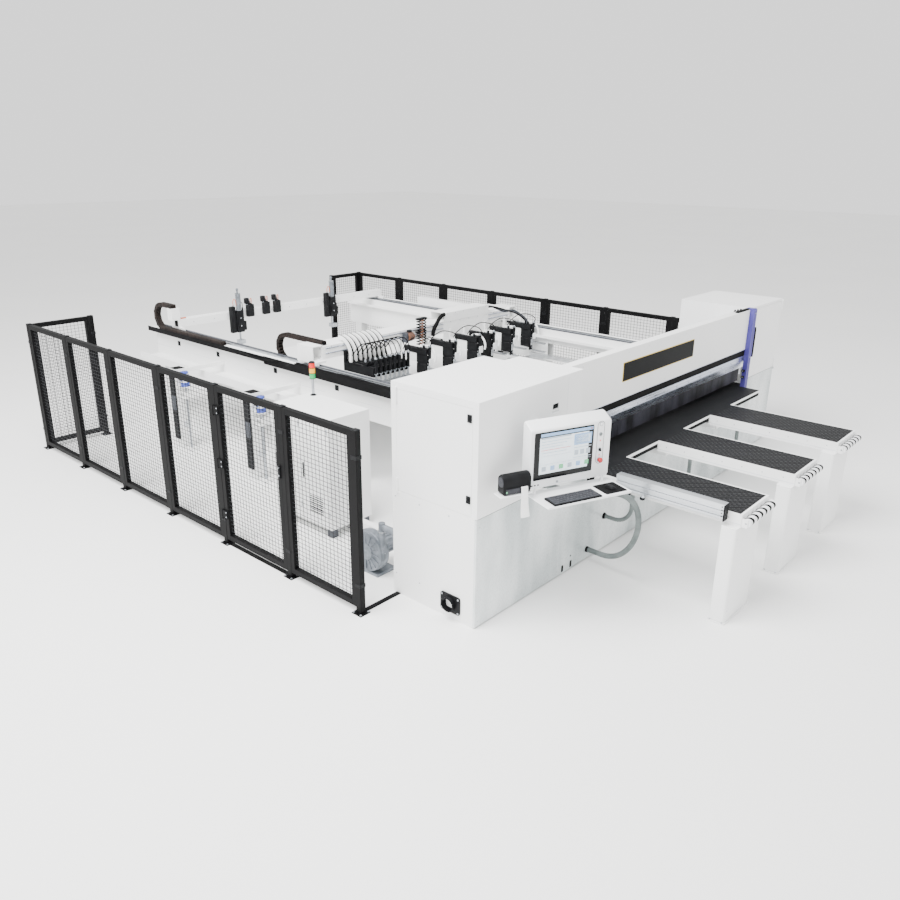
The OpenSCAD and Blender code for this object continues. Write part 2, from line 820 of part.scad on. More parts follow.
module air_hoses() {
    placed() color("#9aa0a6") for (i = [0 : air_n - 1]) {
        x = air_x + i * air_pitch + duct_x;
        rod_z([x, duct_y, duct_z], duct_r, air_z0 - duct_z);
        translate([x, duct_y + duct_bend, duct_z]) rotate([90, 0, 90])
            rotate([0, 0, 180]) rotate_extrude(angle = 90, $fn = 64)
                translate([duct_bend, 0]) circle(r = duct_r, $fn = 32);
        rod_y([x, duct_y + duct_bend, duct_z - duct_bend], duct_r, -duct_y - duct_bend);
    }
}

// The console: an arm fixed on the left cabinet, and the housing that swivels on its pin
pin_x = 713;
pin_y = -195;
con_front = 170;
con_back = con_front - con_d;
tray_z = con_z - 65;
tray_x = -300;

// Moves local console sizes, X along the face and Y away from the operator, to their place
module on_console() {
    placed() translate([pin_x, pin_y, 0]) rotate([0, 0, -con_turn]) children();
}

module console_arm() {
    placed() color("#e3e5e8") {
        difference() {
            union() {
                span([pin_x - 60, -25, 1380], [pin_x + 60, 0, 1700]);
                for (z = [1410, 1620]) {
                    span([pin_x - 35, pin_y, z], [pin_x + 35, -25, z + 40]);
                    rod_z([pin_x, pin_y, z], pivot_r + 16, 40);
                }
            }
            rod_z([pin_x, pin_y, 1400], pivot_r + air_gap, 300);
        }
        difference() {
            union() {
                span([pin_x + 40, -70, 1080], [pin_x + 130, 0, 1150]);
                rod_y(hose_route[0] - [0, 14, 0], hose_r + 8, 15);
            }
            rod_y(hose_route[0] - [0, 15, 0], hose_r + air_gap, 15 + air_gap);
        }
        span([pin_x + 62, -40, 1150 + seam], [pin_x + 110, 0, 1500]);
    }
}

module console_housing() {
    on_console() color("#f4f5f6") {
        difference() {
            translate([con_x0, 0, con_z]) rotate([90, 0, 90]) linear_extrude(con_w)
                polygon([[-con_front, 0], [-con_back, 0], [-con_back, con_h + 55],
                         [-con_back - 25, con_h + 55], [-con_front, con_h]]);
            span([screen_x - 25, -con_front - deep, screen_z - 25],
                 [screen_x + screen_w + 25, -con_front + 12, screen_z + screen_h + 25]);
            for (z = panel_z) rod_y([panel_x, -con_front - deep, z], button_r + air_gap, 30);
            rod_y([panel_x, -con_front - deep, stop_z], stop_stem + air_gap, 30);
            for (x = [[con_x0 + 8, -50], [50, con_x0 + con_w - 8]])
                span([x[0], -con_front + 32, con_z + 8], [x[1], -con_back + deep, con_z + con_h - 8]);
        }
        rod_y([panel_x, -con_front - 6, lamp_z], button_r, 8);
        rod_z([0, 0, 1395], pivot_r, 290);
        span([-30, -con_back - deep, 1470], [30, -pivot_r, 1600]);
        rod_z([0, 0, 1470], pivot_r + 12, 130);
    }
}

con_x0 = -305;
panel_x = con_x0 + con_w - 103;
panel_z = [con_z + 471, con_z + 248];
lamp_z = con_z + 383;
stop_z = con_z + 158;
stop_stem = 15;
screen_x = con_x0 + 55;
screen_z = con_z + 98;

module console_screen() {
    w = screen_w + 50 - 2 * seam;
    h = screen_h + 50 - 2 * seam;
    on_console() color("#15181c") translate([screen_x - 25 + seam, -con_front, screen_z - 25 + seam])
        difference() {
            span([0, -2, 0], [w, 12 - seam, h]);
            span([25, -3, 25], [w - 25, 1, h - 25]);
        }
}

module keyboard_tray() {
    on_console() color("#eef0f2") {
        span([tray_x, -con_front - 280, tray_z], [tray_x + tray_w, tray_d - con_front - 280, tray_z + 14]);
        for (x = [tray_x + 40, tray_x + tray_w - 110])
            span([x, -con_front, tray_z + 14], [x + 20, -con_front + 25, con_z]);
    }
}

module keyboard() {
    y0 = -con_front - 275;
    z0 = tray_z + 14;
    on_console() translate([tray_x + 65, y0, z0]) {
        color("#1b1c1f") span([0, 0, 0], [460, 165, 16]);
        color("#2b2c30") for (i = [0 : 13], j = [0 : 3])
            span([10 + i * 31.5, 10 + j * 37, 16], [37 + i * 31.5, 42 + j * 37, 22]);
        color("#222327") span([520, 25, 0], [735, 225, 3]);
        color("#101113") span([600, 70, 3], [660, 170, 26]);
    }
}

module label_printer() {
    on_console() translate([con_x0, -con_front, con_z]) {
        color("#f0f1f3") span([-300, -60, 0], [0, 60, 10]);
        color("#2c2d31") difference() {
            union() {
                span([-265, -45, 10], [-15, 55, 130]);
                rod_x([-265, 5, 130], 50, 250);
            }
            span([-250, -55, 60], [-40, -35, 66]);
        }
        color("white") span([-240, -58, -90], [-60, -56.6, 64]);
        color("white") span([-240, -57, 61], [-60, -45, 64]);
    }
}

module emergency_stop() {
    on_console() color("crimson") {
        rod_y([panel_x, -con_front - 34, stop_z], stop_r, 16);
        rod_y([panel_x, -con_front - 18 - deep, stop_z], stop_stem, 36);
    }
}

module start_button() {
    on_console() color("white") rod_y([panel_x, -con_front - 8, panel_z[0]], button_r, 24);
}

module selector_knob() {
    on_console() color("#141416") {
        rod_y([panel_x, -con_front - 10, panel_z[1]], button_r, 26);
        span([panel_x - 4, -con_front - 22, panel_z[1] - 12], [panel_x + 4, -con_front - 9, panel_z[1] + 12]);
    }
}

// The grey ribbed hose, from the arm's lower box under the tray and round to the base panel.
// Its route's points, in machine places:
hose_route = [
    [800, -70, 1115], [800, -162, 1115], [811, -258, 1112], [852, -345, 1110],
    [912, -420, 1107], [986, -482, 1100], [1067, -533, 1087], [1151, -575, 1065],
    [1235, -609, 1030], [1312, -635, 978], [1379, -651, 911], [1436, -657, 833],
    [1483, -653, 749], [1523, -640, 661], [1556, -619, 573], [1585, -589, 486],
    [1609, -550, 401], [1630, -500, 321], [1649, -438, 249], [1665, -365, 191],
    [1681, -279, 150], [1694, -186, 132], [1700, -90, 130], [1700, 0, 130]
];
hose_ribs = 150;
hose_bore = hose_r - 7;

// A smooth curve through four neighbouring points
function smooth(a, b, c, d, t) =
    0.5 * ((2 * b) + (c - a) * t + (2 * a - 5 * b + 4 * c - d) * t * t
    + (3 * b - a - 3 * c + d) * t * t * t);

// The point of a route at a share of its length, with its ends carried straight on
function along(route, share) =
    let (n = len(route) - 1, u = min(share * n, n - 0.0001), i = floor(u), t = u - i,
         a = i > 0 ? route[i - 1] : 2 * route[0] - route[1],
         d = i + 2 <= n ? route[i + 2] : 2 * route[n] - route[n - 1])
    smooth(a, route[i], route[i + 1], d, t);

function unit(v) = v / norm(v);

// The direction of a route at a share of its length
function heading(route, share) =
    let (d = 0.002) unit(along(route, min(share + d, 1)) - along(route, max(share - d, 0)));

// A ring of points round a route, square to it
function ring(route, share, r, sides) =
    let (c = along(route, share), h = heading(route, share),
         s = unit(cross(h, [0.2, 0.1, 1])), n = cross(s, h))
    [for (k = [0 : sides - 1]) c + r * (cos(360 * k / sides) * s + sin(360 * k / sides) * n)];

// A hose with raised ribs outside and a plain bore, as one closed skin
module ribbed_hose(route, r, bore, ribs, sides) {
    rings = 2 * ribs + 1;
    inner = 60;
    outer_rings = [for (i = [0 : rings - 1])
        ring(route, i / (rings - 1), i % 2 == 1 ? r : r - 3.5, sides)];
    inner_rings = [for (i = [0 : inner]) ring(route, 1 - i / inner, bore, sides)];
    all_rings = concat(outer_rings, inner_rings);
    count = len(all_rings);
    points = [for (g = all_rings) each g];
    faces = [for (i = [0 : count - 1], k = [0 : sides - 1], half = [0, 1])
        let (j = (i + 1) % count, m = (k + 1) % sides)
        half == 0 ? [i * sides + k, i * sides + m, j * sides + k]
                  : [i * sides + m, j * sides + m, j * sides + k]];
    polyhedron(points, faces);
}

module console_hose() {
    placed() color("#8d9298") ribbed_hose(hose_route, hose_r, hose_bore, hose_ribs, 8);
}

// The side beams with their legs, racks, troughs and brackets
side_xl = lcab_x1 + side_gap;
side_xr = rcab_x - side_gap - side_w;
leg_places = [1120, 3130, 7280];
trough_y0 = rcab_y + rcab_d + 20;
shelf_w = 320;
shelf_y0 = 3350;
rack_x = side_xl + 95;
rack_w = 30;

// Repeats its children at both side beams, mirrored about the middle of the bay
module both_sides() {
    children();
    translate([2 * bay_mid, 0, 0]) mirror([1, 0, 0]) children();
}

// The closed cable duct on the right side's outer trough
trough_duct_y = [3750, 6000];
// The opening in the right side beam, between its first two legs
window_y = [1960, 3110];
window_edge = 40;
window_top = 200;

module side_beams() {
    z0 = side_z - side_h;
    in_x = side_xl + side_w + seam;
    out_x = side_xl - seam;
    placed() color("#eff0f2") {
        difference() {
            both_sides() tube([side_xl, side_y0, z0], [side_xl + side_w, side_y1, side_z], side_wall, 1);
            span([side_xr - deep, window_y[0], z0 + window_edge],
                 [side_xr + side_w + deep, window_y[1], side_z - window_top]);
        }
        both_sides() {
            for (y = leg_places) {
                tube([side_xl, y, 14 + seam], [side_xl + side_leg, y + side_leg, z0 - seam], 8, 2);
                span([side_xl - 25, y - 25, 0], [side_xl + side_leg + 25, y + side_leg + 25, 14]);
            }
            span([side_xl, table_rear + seam, z0 + 20],
                 [side_xl + side_w, side_y0 - seam, table_z - table_t - 10]);
            span([in_x, side_y0 + 40, side_z - 108], [in_x + 115, side_y1 - 60, side_z - 96]);
            span([side_xl - 105, trough_y0, side_z - 18], [out_x, side_y1 + 40, side_z - 6]);
        }
        span([side_xr + side_w + 10, trough_duct_y[0], side_z - 6],
             [side_xr + side_w + 95, trough_duct_y[1], side_z + 145]);
        span([side_xl - shelf_w, shelf_y0, z0 + 30], [out_x, side_y1 - 60, z0 + 60]);
        span([side_xl - shelf_w, shelf_y0, z0 + 60 + seam],
             [side_xl - shelf_w + 12, side_y1 - 60, z0 + 130]);
    }
}

module guide_rails() {
    placed() {
        both_sides() {
            color("#8f9298") span([side_xl + 15, side_y0, side_z], [side_xl + 45, side_y1, side_z + rail_h]);
            color("#2a2b2e") span([rack_x, side_y0, side_z], [rack_x + rack_w, side_y1, side_z + rack_h]);
        }
        color("#8f9298") for (z = saw_rail_z)
            span([base_x0, wall_y1, z], [base_x1, wall_y1 + saw_rail_t, z + 40]);
    }
}

// One energy chain, lying along Y with its loop at the rear: a straight lower run, half a ring
// and a straight upper run
module chain(x, z, y_loop, low_run, high_run, bend, wide, tall) {
    span([x, y_loop - low_run, z], [x + wide, y_loop, z + tall]);
    translate([x + wide, y_loop, z + bend + tall]) rotate([90, 0, -90])
        rotate([0, 0, 90]) rotate_extrude(angle = 180, $fn = 64)
            translate([bend, 0]) square([tall, wide]);
    span([x, y_loop - high_run, z + 2 * bend + tall], [x + wide, y_loop, z + 2 * bend + 2 * tall]);
}

main_chain_x = side_xl + side_w + 16;
feed_chain_x = side_xl - 95;
chain_w = 80;
chain_t = 52;
chain_loop_y = 4640;
main_bend = 138;

module cable_chains() {
    placed() color("#1e1c1d")
        chain(main_chain_x, side_z - 95, chain_loop_y, 620, chain_loop_y - gantry_y - 40, main_bend,
              chain_w, chain_t);
}

// The clamp gantry: a box beam on end carriages, with the pinion shaft behind it
gantry_z = side_z + 70;
gantry_z1 = gantry_z + gantry_h;
gantry_y1 = gantry_y + gantry_d;
shaft_y = gantry_y1 + 60;
shaft_z = side_z + rack_h + pinion_r + air_gap;
carriage_y0 = gantry_y - 60;
carriage_y1 = shaft_y - pinion_r - 10;
shoe_z = side_z + rail_h + air_gap;
main_chain_top = side_z - 95 + 2 * main_bend + chain_t;
hood_x0 = bay_mid + 335;
hood_x1 = bay_mid + 1325;
hood_h = 125;
// The white sheet in front of the gantry hangs down to here, with a slot for each clamp's arm
apron_z = 1206;

module pusher_gantry() {
    placed() color("#f2f3f5") {
        tube([side_xl + side_w + seam, gantry_y, gantry_z], [side_xr - seam, gantry_y1, gantry_z1], 10, 0);
        both_sides() {
            span([side_xl + 2, carriage_y0, shoe_z + 20 + seam],
                 [side_xl + side_w - 2, carriage_y1, gantry_z - seam]);
            for (y = [carriage_y0 + 5, carriage_y1 - 125])
                span([side_xl + 10, y, shoe_z], [side_xl + 50, y + 120, shoe_z + 20]);
            tube([side_xl + 2, gantry_y, gantry_z], [side_xl + side_w, gantry_y1, gantry_z1 + 20], 10, 1);
            difference() {
                span([side_xl + side_w + 30, gantry_y1 + seam, shaft_z - 35],
                     [side_xl + side_w + 50, shaft_y + 35, shaft_z + 60]);
                rod_x([side_xl + side_w + 29, shaft_y, shaft_z], shaft_r + air_gap, 22);
            }
        }
        span([main_chain_x - 10, gantry_y1 + seam, main_chain_top - 30],
             [main_chain_x + 90, gantry_y1 + 90, main_chain_top - seam]);
        translate([0, 0, gantry_z1 + seam]) {
            tube([hood_x0, gantry_y - 20, 0], [hood_x1, gantry_y1 - 60, hood_h], 5, 0);
            span([hood_x1 + 30, gantry_y + 60, 0], [side_xr - seam, gantry_y + 420, 20]);
        }
        difference() {
            span([hood_x0, gantry_y - 16, apron_z], [hood_x1, gantry_y - seam, gantry_z1]);
            for (x = single_x)
                span([x - clamp_w / 2 - 6, gantry_y - 16 - deep, apron_z - deep],
                     [x + clamp_w / 2 + 6, gantry_y, gantry_z + 66]);
        }
    }
}

module pusher_shaft() {
    x0 = side_xl + 88;
    x1 = side_xr + side_w - 88;
    placed() color("#9a9da3") {
        rod_x([x0, shaft_y, shaft_z], shaft_r, x1 - x0);
        both_sides() rod_x([rack_x, shaft_y, shaft_z], pinion_r, rack_w);
    }
}

// Where the clamps stand: a close row on the left and single ones along the rest
close_n = 8;
close_x = 2010;
close_pitch = 80;
single_x = [2970, 3480, 3990, 4300, 4770, 5250];
clamp_x = concat([for (i = [0 : close_n - 1]) close_x + i * close_pitch], single_x);
clamp_y = gantry_y - 550;
jaw_z = table_z + 2;
jaw_t = 14;
body_z = jaw_z + 190;
cylinder_r = 20;
jaw_rod_y = clamp_y - cylinder_r - seam;
jaw_rod_r = 9;
jaw_top = jaw_z + jaw_t + jaw_open + 16;
rib_r = 200;

module clamps() {
    y0 = clamp_y - clamp_reach;
    cyl_z = body_z + 40;
    placed() for (i = [0 : len(clamp_x) - 1]) translate([clamp_x[i], 0, 0]) {
        half = clamp_w / 2;
        color("#f5f6f7") {
            span([-half, clamp_y, jaw_z], [half, clamp_y + 30, body_z - seam]);
            span([-half, y0, jaw_z], [half, clamp_y - seam, jaw_z + jaw_t]);
        }
        color("#17181a") {
            span([-half, clamp_y, body_z], [half, gantry_y - seam, body_z + 120]);
            span([-half, gantry_y - 40, body_z + 120 + seam], [half, gantry_y - seam, gantry_z + 60]);
            difference() {
                rod_z([0, jaw_rod_y, cyl_z], cylinder_r, 190);
                rod_z([0, jaw_rod_y, cyl_z - deep], jaw_rod_r + air_gap, 130);
            }
            if (i >= close_n)
                span([-44, clamp_y + 5, body_z + 120 + seam], [44, clamp_y + 185, body_z + 190]);
        }
        if (i < close_n) color("white") {
            span([-12, gantry_y - 134, body_z + 120 + seam], [12, gantry_y - 96, gantry_z]);
            translate([-12, gantry_y + rib_r / 2, gantry_z]) rotate([90, 0, 90])
                rotate([0, 0, 90]) rotate_extrude(angle = 90, $fn = 48)
                    translate([rib_r, 0]) square([34, 24]);
        }
    }
}

module clamp_jaws() {
    z = jaw_top - 16;
    placed() color("#3a3c40") for (x = clamp_x) {
        span([x - clamp_w / 2, clamp_y - clamp_reach + 10, z], [x + clamp_w / 2, clamp_y - 5, jaw_top]);
        rod_z([x, jaw_rod_y, jaw_top - deep], jaw_rod_r, body_z + 40 - jaw_top + 120);
    }
}

// The lift: columns with motors on top, screws, and the deck on its two cross beams
screw_xr = side_xr + side_w + 130;
screw_places = [for (x = [screw_xl, screw_xr], y = [screw_y0, screw_y1]) [x, y]];
cross_h = 90;
cross_z = deck_z - deck_t - cross_h;
motor_plate_z = deck_z + 30;

module lift_columns() {
    placed() {
        color("#eceef0") for (s = screw_places) {
            tube([s[0] - post_w / 2, s[1] + 90, 14], [s[0] + post_w / 2, s[1] + 90 + post_w, post_h], 8, 2);
            difference() {
                union() {
                    span([s[0] - 75, s[1] - 75, 0], [s[0] + 75, s[1] + 90 + post_w, 14]);
                    span([s[0] - 60, s[1] - 60, 14], [s[0] + 60, s[1] + 60, 40]);
                }
                rod_z(concat(s, 10), screw_r + air_gap, 60);
            }
            left = s[0] < bay_mid;
            span([left ? s[0] + post_w / 2 + seam : side_xr + side_w + seam, s[1] + 130, 1040],
                 [left ? side_xl - seam : s[0] - post_w / 2 - seam, s[1] + 180, 1090]);
            difference() {
                span([s[0] - 60, s[1] - 60, motor_plate_z],
                     [s[0] + 60, s[1] + 90 - seam, motor_plate_z + 14]);
                rod_z(concat(s, motor_plate_z - deep), screw_r + air_gap, 40);
            }
        }
        color("#3f55a5") for (s = screw_places) {
            rod_z(concat(s, motor_plate_z + 14), 55, 60);
            rod_z(concat(s, motor_plate_z + 74), 48, 110);
        }
    }
}

module lift_deck() {
    x0 = side_xl + side_w + 60;
    x1 = side_xr - 60;
    z0 = deck_z - deck_t;
    placed() color("white") {
        difference() {
            span([x0, deck_y0, z0], [x1, deck_y1, deck_z]);
            for (i = [0 : 5]) {
                w = (x1 - x0 - 20) / 6;
                span([x0 + 20 + i * w, deck_y0 + 20, z0 - deep], [x0 + w + i * w, deck_y1 - 20, deck_z - 6]);
            }
        }
        for (y = [screw_y0, screw_y1]) difference() {
            tube([screw_xl - 55, y - 45, cross_z], [screw_xr + 55, y + 45, z0 - seam], 8, 0);
            for (x = [screw_xl, screw_xr]) rod_z([x, y, cross_z - deep], screw_r + air_gap, cross_h + 2);
        }
    }
}

// One of the four lifting screws
module lift_screw(i) {
    placed() color("#6d7076") rod_z(concat(screw_places[i], 10 + air_gap), screw_r, motor_plate_z + 3);
}

// The feeder at the rear: a beam on the side beams, with fingers that reach down
tall_x = [2500, 4350];
short_x = [2720, 3020, 3230];
feed_z = side_z + rail_h + 40;

finger_rod_r = 14;
finger_y = feed_y - 46;
feed_loop_y = 7190;
feed_bend = 150;
feed_run = 1500;
finger_drop = 320;

module feeder() {
    z1 = feed_z + feed_s;
    chain_z = side_z - 5;
    placed() {
        color("#e9ebed") {
            tube([side_xl + 2, feed_y, feed_z], [side_xr + side_w - 2, feed_y + feed_s, z1], 8, 0);
            both_sides() for (y = [feed_y - 90, feed_y + feed_s - 30])
                span([side_xl + 10, y, side_z + rail_h + air_gap], [side_xl + 50, y + 120, feed_z - seam]);
        }
        color("#1a1b1d") {
            for (x = tall_x) difference() {
                span([x - 60, feed_y - 90, feed_z - 200], [x + 60, feed_y - seam, feed_z + 130]);
                rod_z([x, finger_y, feed_z - 200 - deep], finger_rod_r + air_gap, finger_stroke + 60);
            }
            for (x = short_x) span([x - 30, feed_y - 60, feed_z + 30], [x + 30, feed_y - seam, feed_z + 210]);
        }
        color("#a9adb3") for (x = tall_x) {
            rod_z([x, finger_y, feed_z + 130 + seam], 34, 260);
            rod_z([x, finger_y, feed_z + 385], 12, 50);
            translate([x, finger_y, feed_z + 445]) sphere(r = 20, $fn = 24);
        }
        color("#d2572f") rod_x([side_xl + side_w, feed_y + feed_s / 2, z1 + 8], 10, 1200);
        color("#1e1c1d") chain(feed_chain_x, chain_z, feed_loop_y, feed_run, feed_loop_y - feed_y, feed_bend,
                               chain_w, chain_t);
        color("#e9ebed") span([feed_chain_x, feed_y, z1 + seam],
                              [side_xl + 40, feed_y + feed_s, chain_z + 2 * feed_bend + chain_t - seam]);
    }
}

module feeder_fingers() {
    z1 = feed_z - finger_drop;
    placed() color("#c9ccd0") for (x = tall_x) {
        rod_z([x, finger_y, z1 - deep], finger_rod_r, 120 + finger_stroke + 40);
        span([x - 50, feed_y - 110, z1 - 60], [x + 50, feed_y - 10, z1]);
    }
}

// Behind the left cabinet: the electrical cabinet, the signal tower and the ring blower
box_x = 300;
box_y = 2180;

blower_y = 1400;

module service_units() {
    lamps = ["#e8231c", "#f2b01e", "#1f9e4a"];
    tx = box_x + 495;
    ty = box_y + box_d - 100;
    axis_z = blower_r + 30;
    pipe_y = blower_y - blower_r + 35;
    placed() {
        color("white") {
            span([box_x, box_y, 100], [box_x + box_w, box_y + box_d, 120]);
            tube([box_x, box_y, 120 + seam], [box_x + box_w, box_y + box_d, box_h], 20, 2);
            span([box_x, box_y, box_h + seam], [box_x + box_w, box_y + box_d, box_h + 10]);
        }
        color("#303236") for (x = [box_x + 20, box_x + box_w - 100], y = [box_y + 20, box_y + box_d - 100])
            span([x, y, 0], [x + 80, y + 80, 100 - seam]);
        color("#c8ccd1") rod_z([tx, ty, box_h + 10 + seam], 14, 190);
        for (i = [0 : 2]) color(lamps[2 - i])
            rod_z([tx, ty, box_h + 201 + i * (lamp_h + seam)], lamp_r, lamp_h);
        color("#a7acb2") {
            rod_x([60, blower_y, axis_z], blower_r, 110);
            rod_x([170 + seam, blower_y, axis_z], 95, 190);
            span([60, blower_y - 150, 0], [300, blower_y + 150, 30 - seam]);
            span([70, blower_y - 60, 30], [160, blower_y + 60, 60]);
            rod_z([115, pipe_y, axis_z], 32, 330);
            rod_y([115, lcab_d + seam, axis_z + 290], 32, pipe_y - lcab_d - seam);
        }
        color("#c9ccd0") span([box_x + 260, lcab_d + seam, 105], [box_x + 340, box_y - seam, 165]);
    }
}

// Guard fences of posts, framed panels and mesh, running along Y at a place on X
// A mesh panel in the YZ plane
module mesh_panel(y0, y1, z0, z1) {
    gap_y = (y1 - y0 - mesh_bar * (mesh_cols + 1)) / mesh_cols;
    gap_z = (z1 - z0 - mesh_bar * (mesh_rows + 1)) / mesh_rows;
    translate([-mesh_t / 2, 0, 0]) rotate([90, 0, 90]) linear_extrude(mesh_t) difference() {
        translate([y0, z0]) square([y1 - y0, z1 - z0]);
        for (i = [0 : mesh_cols - 1], j = [0 : mesh_rows - 1])
            translate([y0 + mesh_bar + i * (gap_y + mesh_bar), z0 + mesh_bar + j * (gap_z + mesh_bar)])
                square([gap_y, gap_z]);
    }
}

fence_gap = 60;

// One framed panel in the YZ plane between two posts
module framed_panel(y0, y1) {
    z0 = fence_gap;
    z1 = fence_h - 8;
    color("#121214") difference() {
        span([-stile / 2, y0, z0], [stile / 2, y1, z1]);
        span([-stile / 2 - deep, y0 + stile, z0 + stile], [stile / 2 + deep, y1 - stile, z1 - stile]);
    }
    color("#b9bcc0") mesh_panel(y0 + stile, y1 - stile, z0 + stile, z1 - stile);
}

// A post with its foot plate, in the YZ plane
module post(y) {
    color("#121214") {
        span([-post_s / 2, y - post_s / 2, 10 + seam], [post_s / 2, y + post_s / 2, fence_h]);
        span([-foot, y - foot, 0], [foot, y + foot, 10]);
    }
}

// A straight run of posts and panels, leaving one panel out for a gate
module fence_run(ys, gate) {
    for (y = ys) post(y);
    for (i = [0 : len(ys) - 2]) if (i != gate)
        framed_panel(ys[i] + post_s / 2 + seam, ys[i + 1] - post_s / 2 - seam);
}

fence_ys = [fence_y0, for (i = [0 : 5]) fence_y0 + fence_first + i * fence_pitch];
fence_yrs = [for (i = [0 : 6]) fence_yr + i * fence_pitch_r];
return_l = 800;
return_r = 670;

module guard_fences() {
    placed() {
        translate([fence_xl, 0, 0]) fence_run(fence_ys, 1);
        translate([fence_xr, 0, 0]) fence_run(fence_yrs, -1);
        translate([fence_xl, fence_yl1, 0]) rotate([0, 0, -90]) fence_return(return_l);
        translate([fence_xr, fence_yr1, 0]) rotate([0, 0, 90]) fence_return(return_r);
        color("#1a1a1c") span([fence_xl + foot + seam, fence_y0 - 25, 0], [-seam, fence_y0 + 25, 10]);
        color("#1a1a1c") span([fence_xl - 25, fence_ys[1] + foot + seam, 0],
                              [fence_xl + 25, fence_ys[2] - foot - seam, 10]);
        translate([fence_xr, 0, 0]) framed_panel(rcab_y + rcab_d + seam, fence_yr - post_s / 2 - seam);
        color("#1a1a1c") for (z = gate_hinge_z)
            span([gate_hinge_x - 10, gate_hinge_y - 12, z - 12],
                 [fence_xl - post_s / 2 - seam, gate_hinge_y + 12, z - seam]);
    }
}

// A short panel that turns the corner, with its own end post
module fence_return(len) {
    framed_panel(post_s / 2 + seam, len - post_s / 2 - seam);
    post(len);
}

gate_y0 = fence_ys[1] + post_s / 2 + 6;
gate_y1 = fence_ys[2] - post_s / 2 - 6;
gate_hinge_x = fence_xl - post_s / 2 - 12;
gate_hinge_y = fence_ys[2];
gate_hinge_z = [300, 850, 1400];

module fence_gate() {
    x = gate_hinge_x;
    placed() {
        translate([fence_xl, 0, 0]) framed_panel(gate_y0, gate_y1);
        color("#1a1a1c") for (z = gate_hinge_z) {
            rod_z([x, gate_hinge_y, z], hinge_r, 90);
            span([x - 4, gate_y1 - 50, z], [x + 4, gate_hinge_y, z + 90]);
            span([x + 4, gate_y1 - 50, z], [fence_xl - stile / 2, gate_y1 - 20, z + 90]);
        }
        color("#1a1a1c") span([fence_xl - 45, gate_y0 + 3, 1000], [fence_xl - stile / 2, gate_y0 + 27, 1130]);
    }
}

left_cabinet();
front_panels();
left_side_door();
side_door_latches();
dust_port();
right_cabinet();
right_door();
right_door_handle();
portal_beam();
beam_cover();
bright_profile();
curtain_strips();
guide_column();
pressure_beam();
pressure_pads();
base_frame();
base_front_panel();
saw_table();
saw_carriage();
saw_lift();
saw_motor();
drive_belt();
main_blade();
scoring_blade();
air_tables();
air_table_tops();
table_legs();
nose_roller(0);  // nose_roller_1
nose_roller(1);  // nose_roller_2
nose_roller(2);  // nose_roller_3
squaring_fence();
air_hoses();
console_arm();
console_housing();
console_screen();
keyboard_tray();
keyboard();
label_printer();
emergency_stop();
start_button();
selector_knob();
console_hose();
side_beams();
guide_rails();
cable_chains();
pusher_gantry();
pusher_shaft();
clamps();
clamp_jaws();
lift_columns();
lift_deck();
lift_screw(0);  // lift_screw_1
lift_screw(1);  // lift_screw_2
lift_screw(2);  // lift_screw_3
lift_screw(3);  // lift_screw_4
feeder();
feeder_fingers();
service_units();
guard_fences();
fence_gate();
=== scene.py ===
"""Looks of a rear-loading beam saw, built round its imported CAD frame.

Sizes are in millimetres and places are machine places: X along the saw line from the left
cabinet's front corner, Y to the rear, Z up from the floor. at() turns them into the row frame.
"""

import logging
import math
from dataclasses import dataclass
from enum import Enum
from itertools import product
from typing import Callable, Iterable, Sequence

import bmesh
import bpy
from mathutils import Matrix, Vector


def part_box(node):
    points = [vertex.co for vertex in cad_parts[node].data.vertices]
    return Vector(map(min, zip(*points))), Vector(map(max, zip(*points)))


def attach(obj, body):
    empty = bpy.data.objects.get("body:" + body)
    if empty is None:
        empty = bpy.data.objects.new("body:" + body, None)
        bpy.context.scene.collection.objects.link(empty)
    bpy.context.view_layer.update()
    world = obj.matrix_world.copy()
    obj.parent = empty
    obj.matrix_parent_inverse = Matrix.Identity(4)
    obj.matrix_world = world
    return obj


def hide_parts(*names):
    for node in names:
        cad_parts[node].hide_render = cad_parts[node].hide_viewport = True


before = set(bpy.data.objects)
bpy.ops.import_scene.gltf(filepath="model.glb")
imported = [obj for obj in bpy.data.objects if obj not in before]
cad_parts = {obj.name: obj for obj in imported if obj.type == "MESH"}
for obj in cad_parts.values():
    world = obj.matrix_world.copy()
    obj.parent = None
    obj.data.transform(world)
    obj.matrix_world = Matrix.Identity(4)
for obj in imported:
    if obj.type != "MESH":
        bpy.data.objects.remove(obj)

LOG = logging.getLogger("beam_saw")
MM = 0.001
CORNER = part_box("front_panels")[0]
ZERO = Vector((CORNER.x, CORNER.y, 0.0))
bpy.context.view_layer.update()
Point = Sequence[float]

UP, DOWN = (0, 0, 1), (0, 0, -1)
REARWARD, FORWARD = (0, 1, 0), (0, -1, 0)
RIGHTWARD, LEFTWARD = (1, 0, 0), (-1, 0, 0)
HOME = Matrix.Identity(4)
SHARP_DEG = 38.0

# Heights and radii of screw heads, from the seat to the top
CAP_HEAD = [(0, 7), (3, 7), (4, 5)]
FLUSH_HEAD = [(0, 5), (1, 7), (3, 7.5)]


def at(x: float, y: float, z: float) -> Vector:
    """The row-frame point, in metres, of a machine place in millimetres."""
    return ZERO + Vector((x, y, z)) * MM


def machine_place(point: Vector) -> Vector:
    """The machine place, in millimetres, of a row-frame point in metres."""
    return (point - ZERO) / MM


def turned(place: Point, angle: float, axis: str) -> Matrix:
    """A frame at a machine place, turned by an angle in radians about an axis."""
    return Matrix.Translation(place) @ Matrix.Rotation(angle, 4, axis)


def linked(name: str, data: bpy.types.ID) -> bpy.types.Object:
    """Makes an object of a mesh, camera or lamp and links it to the scene.

    Args:
        name: The object's name.
        data: What the object shows.

    Returns:
        The new object.
    """
    made = bpy.data.objects.new(name, data)
    bpy.context.scene.collection.objects.link(made)
    return made


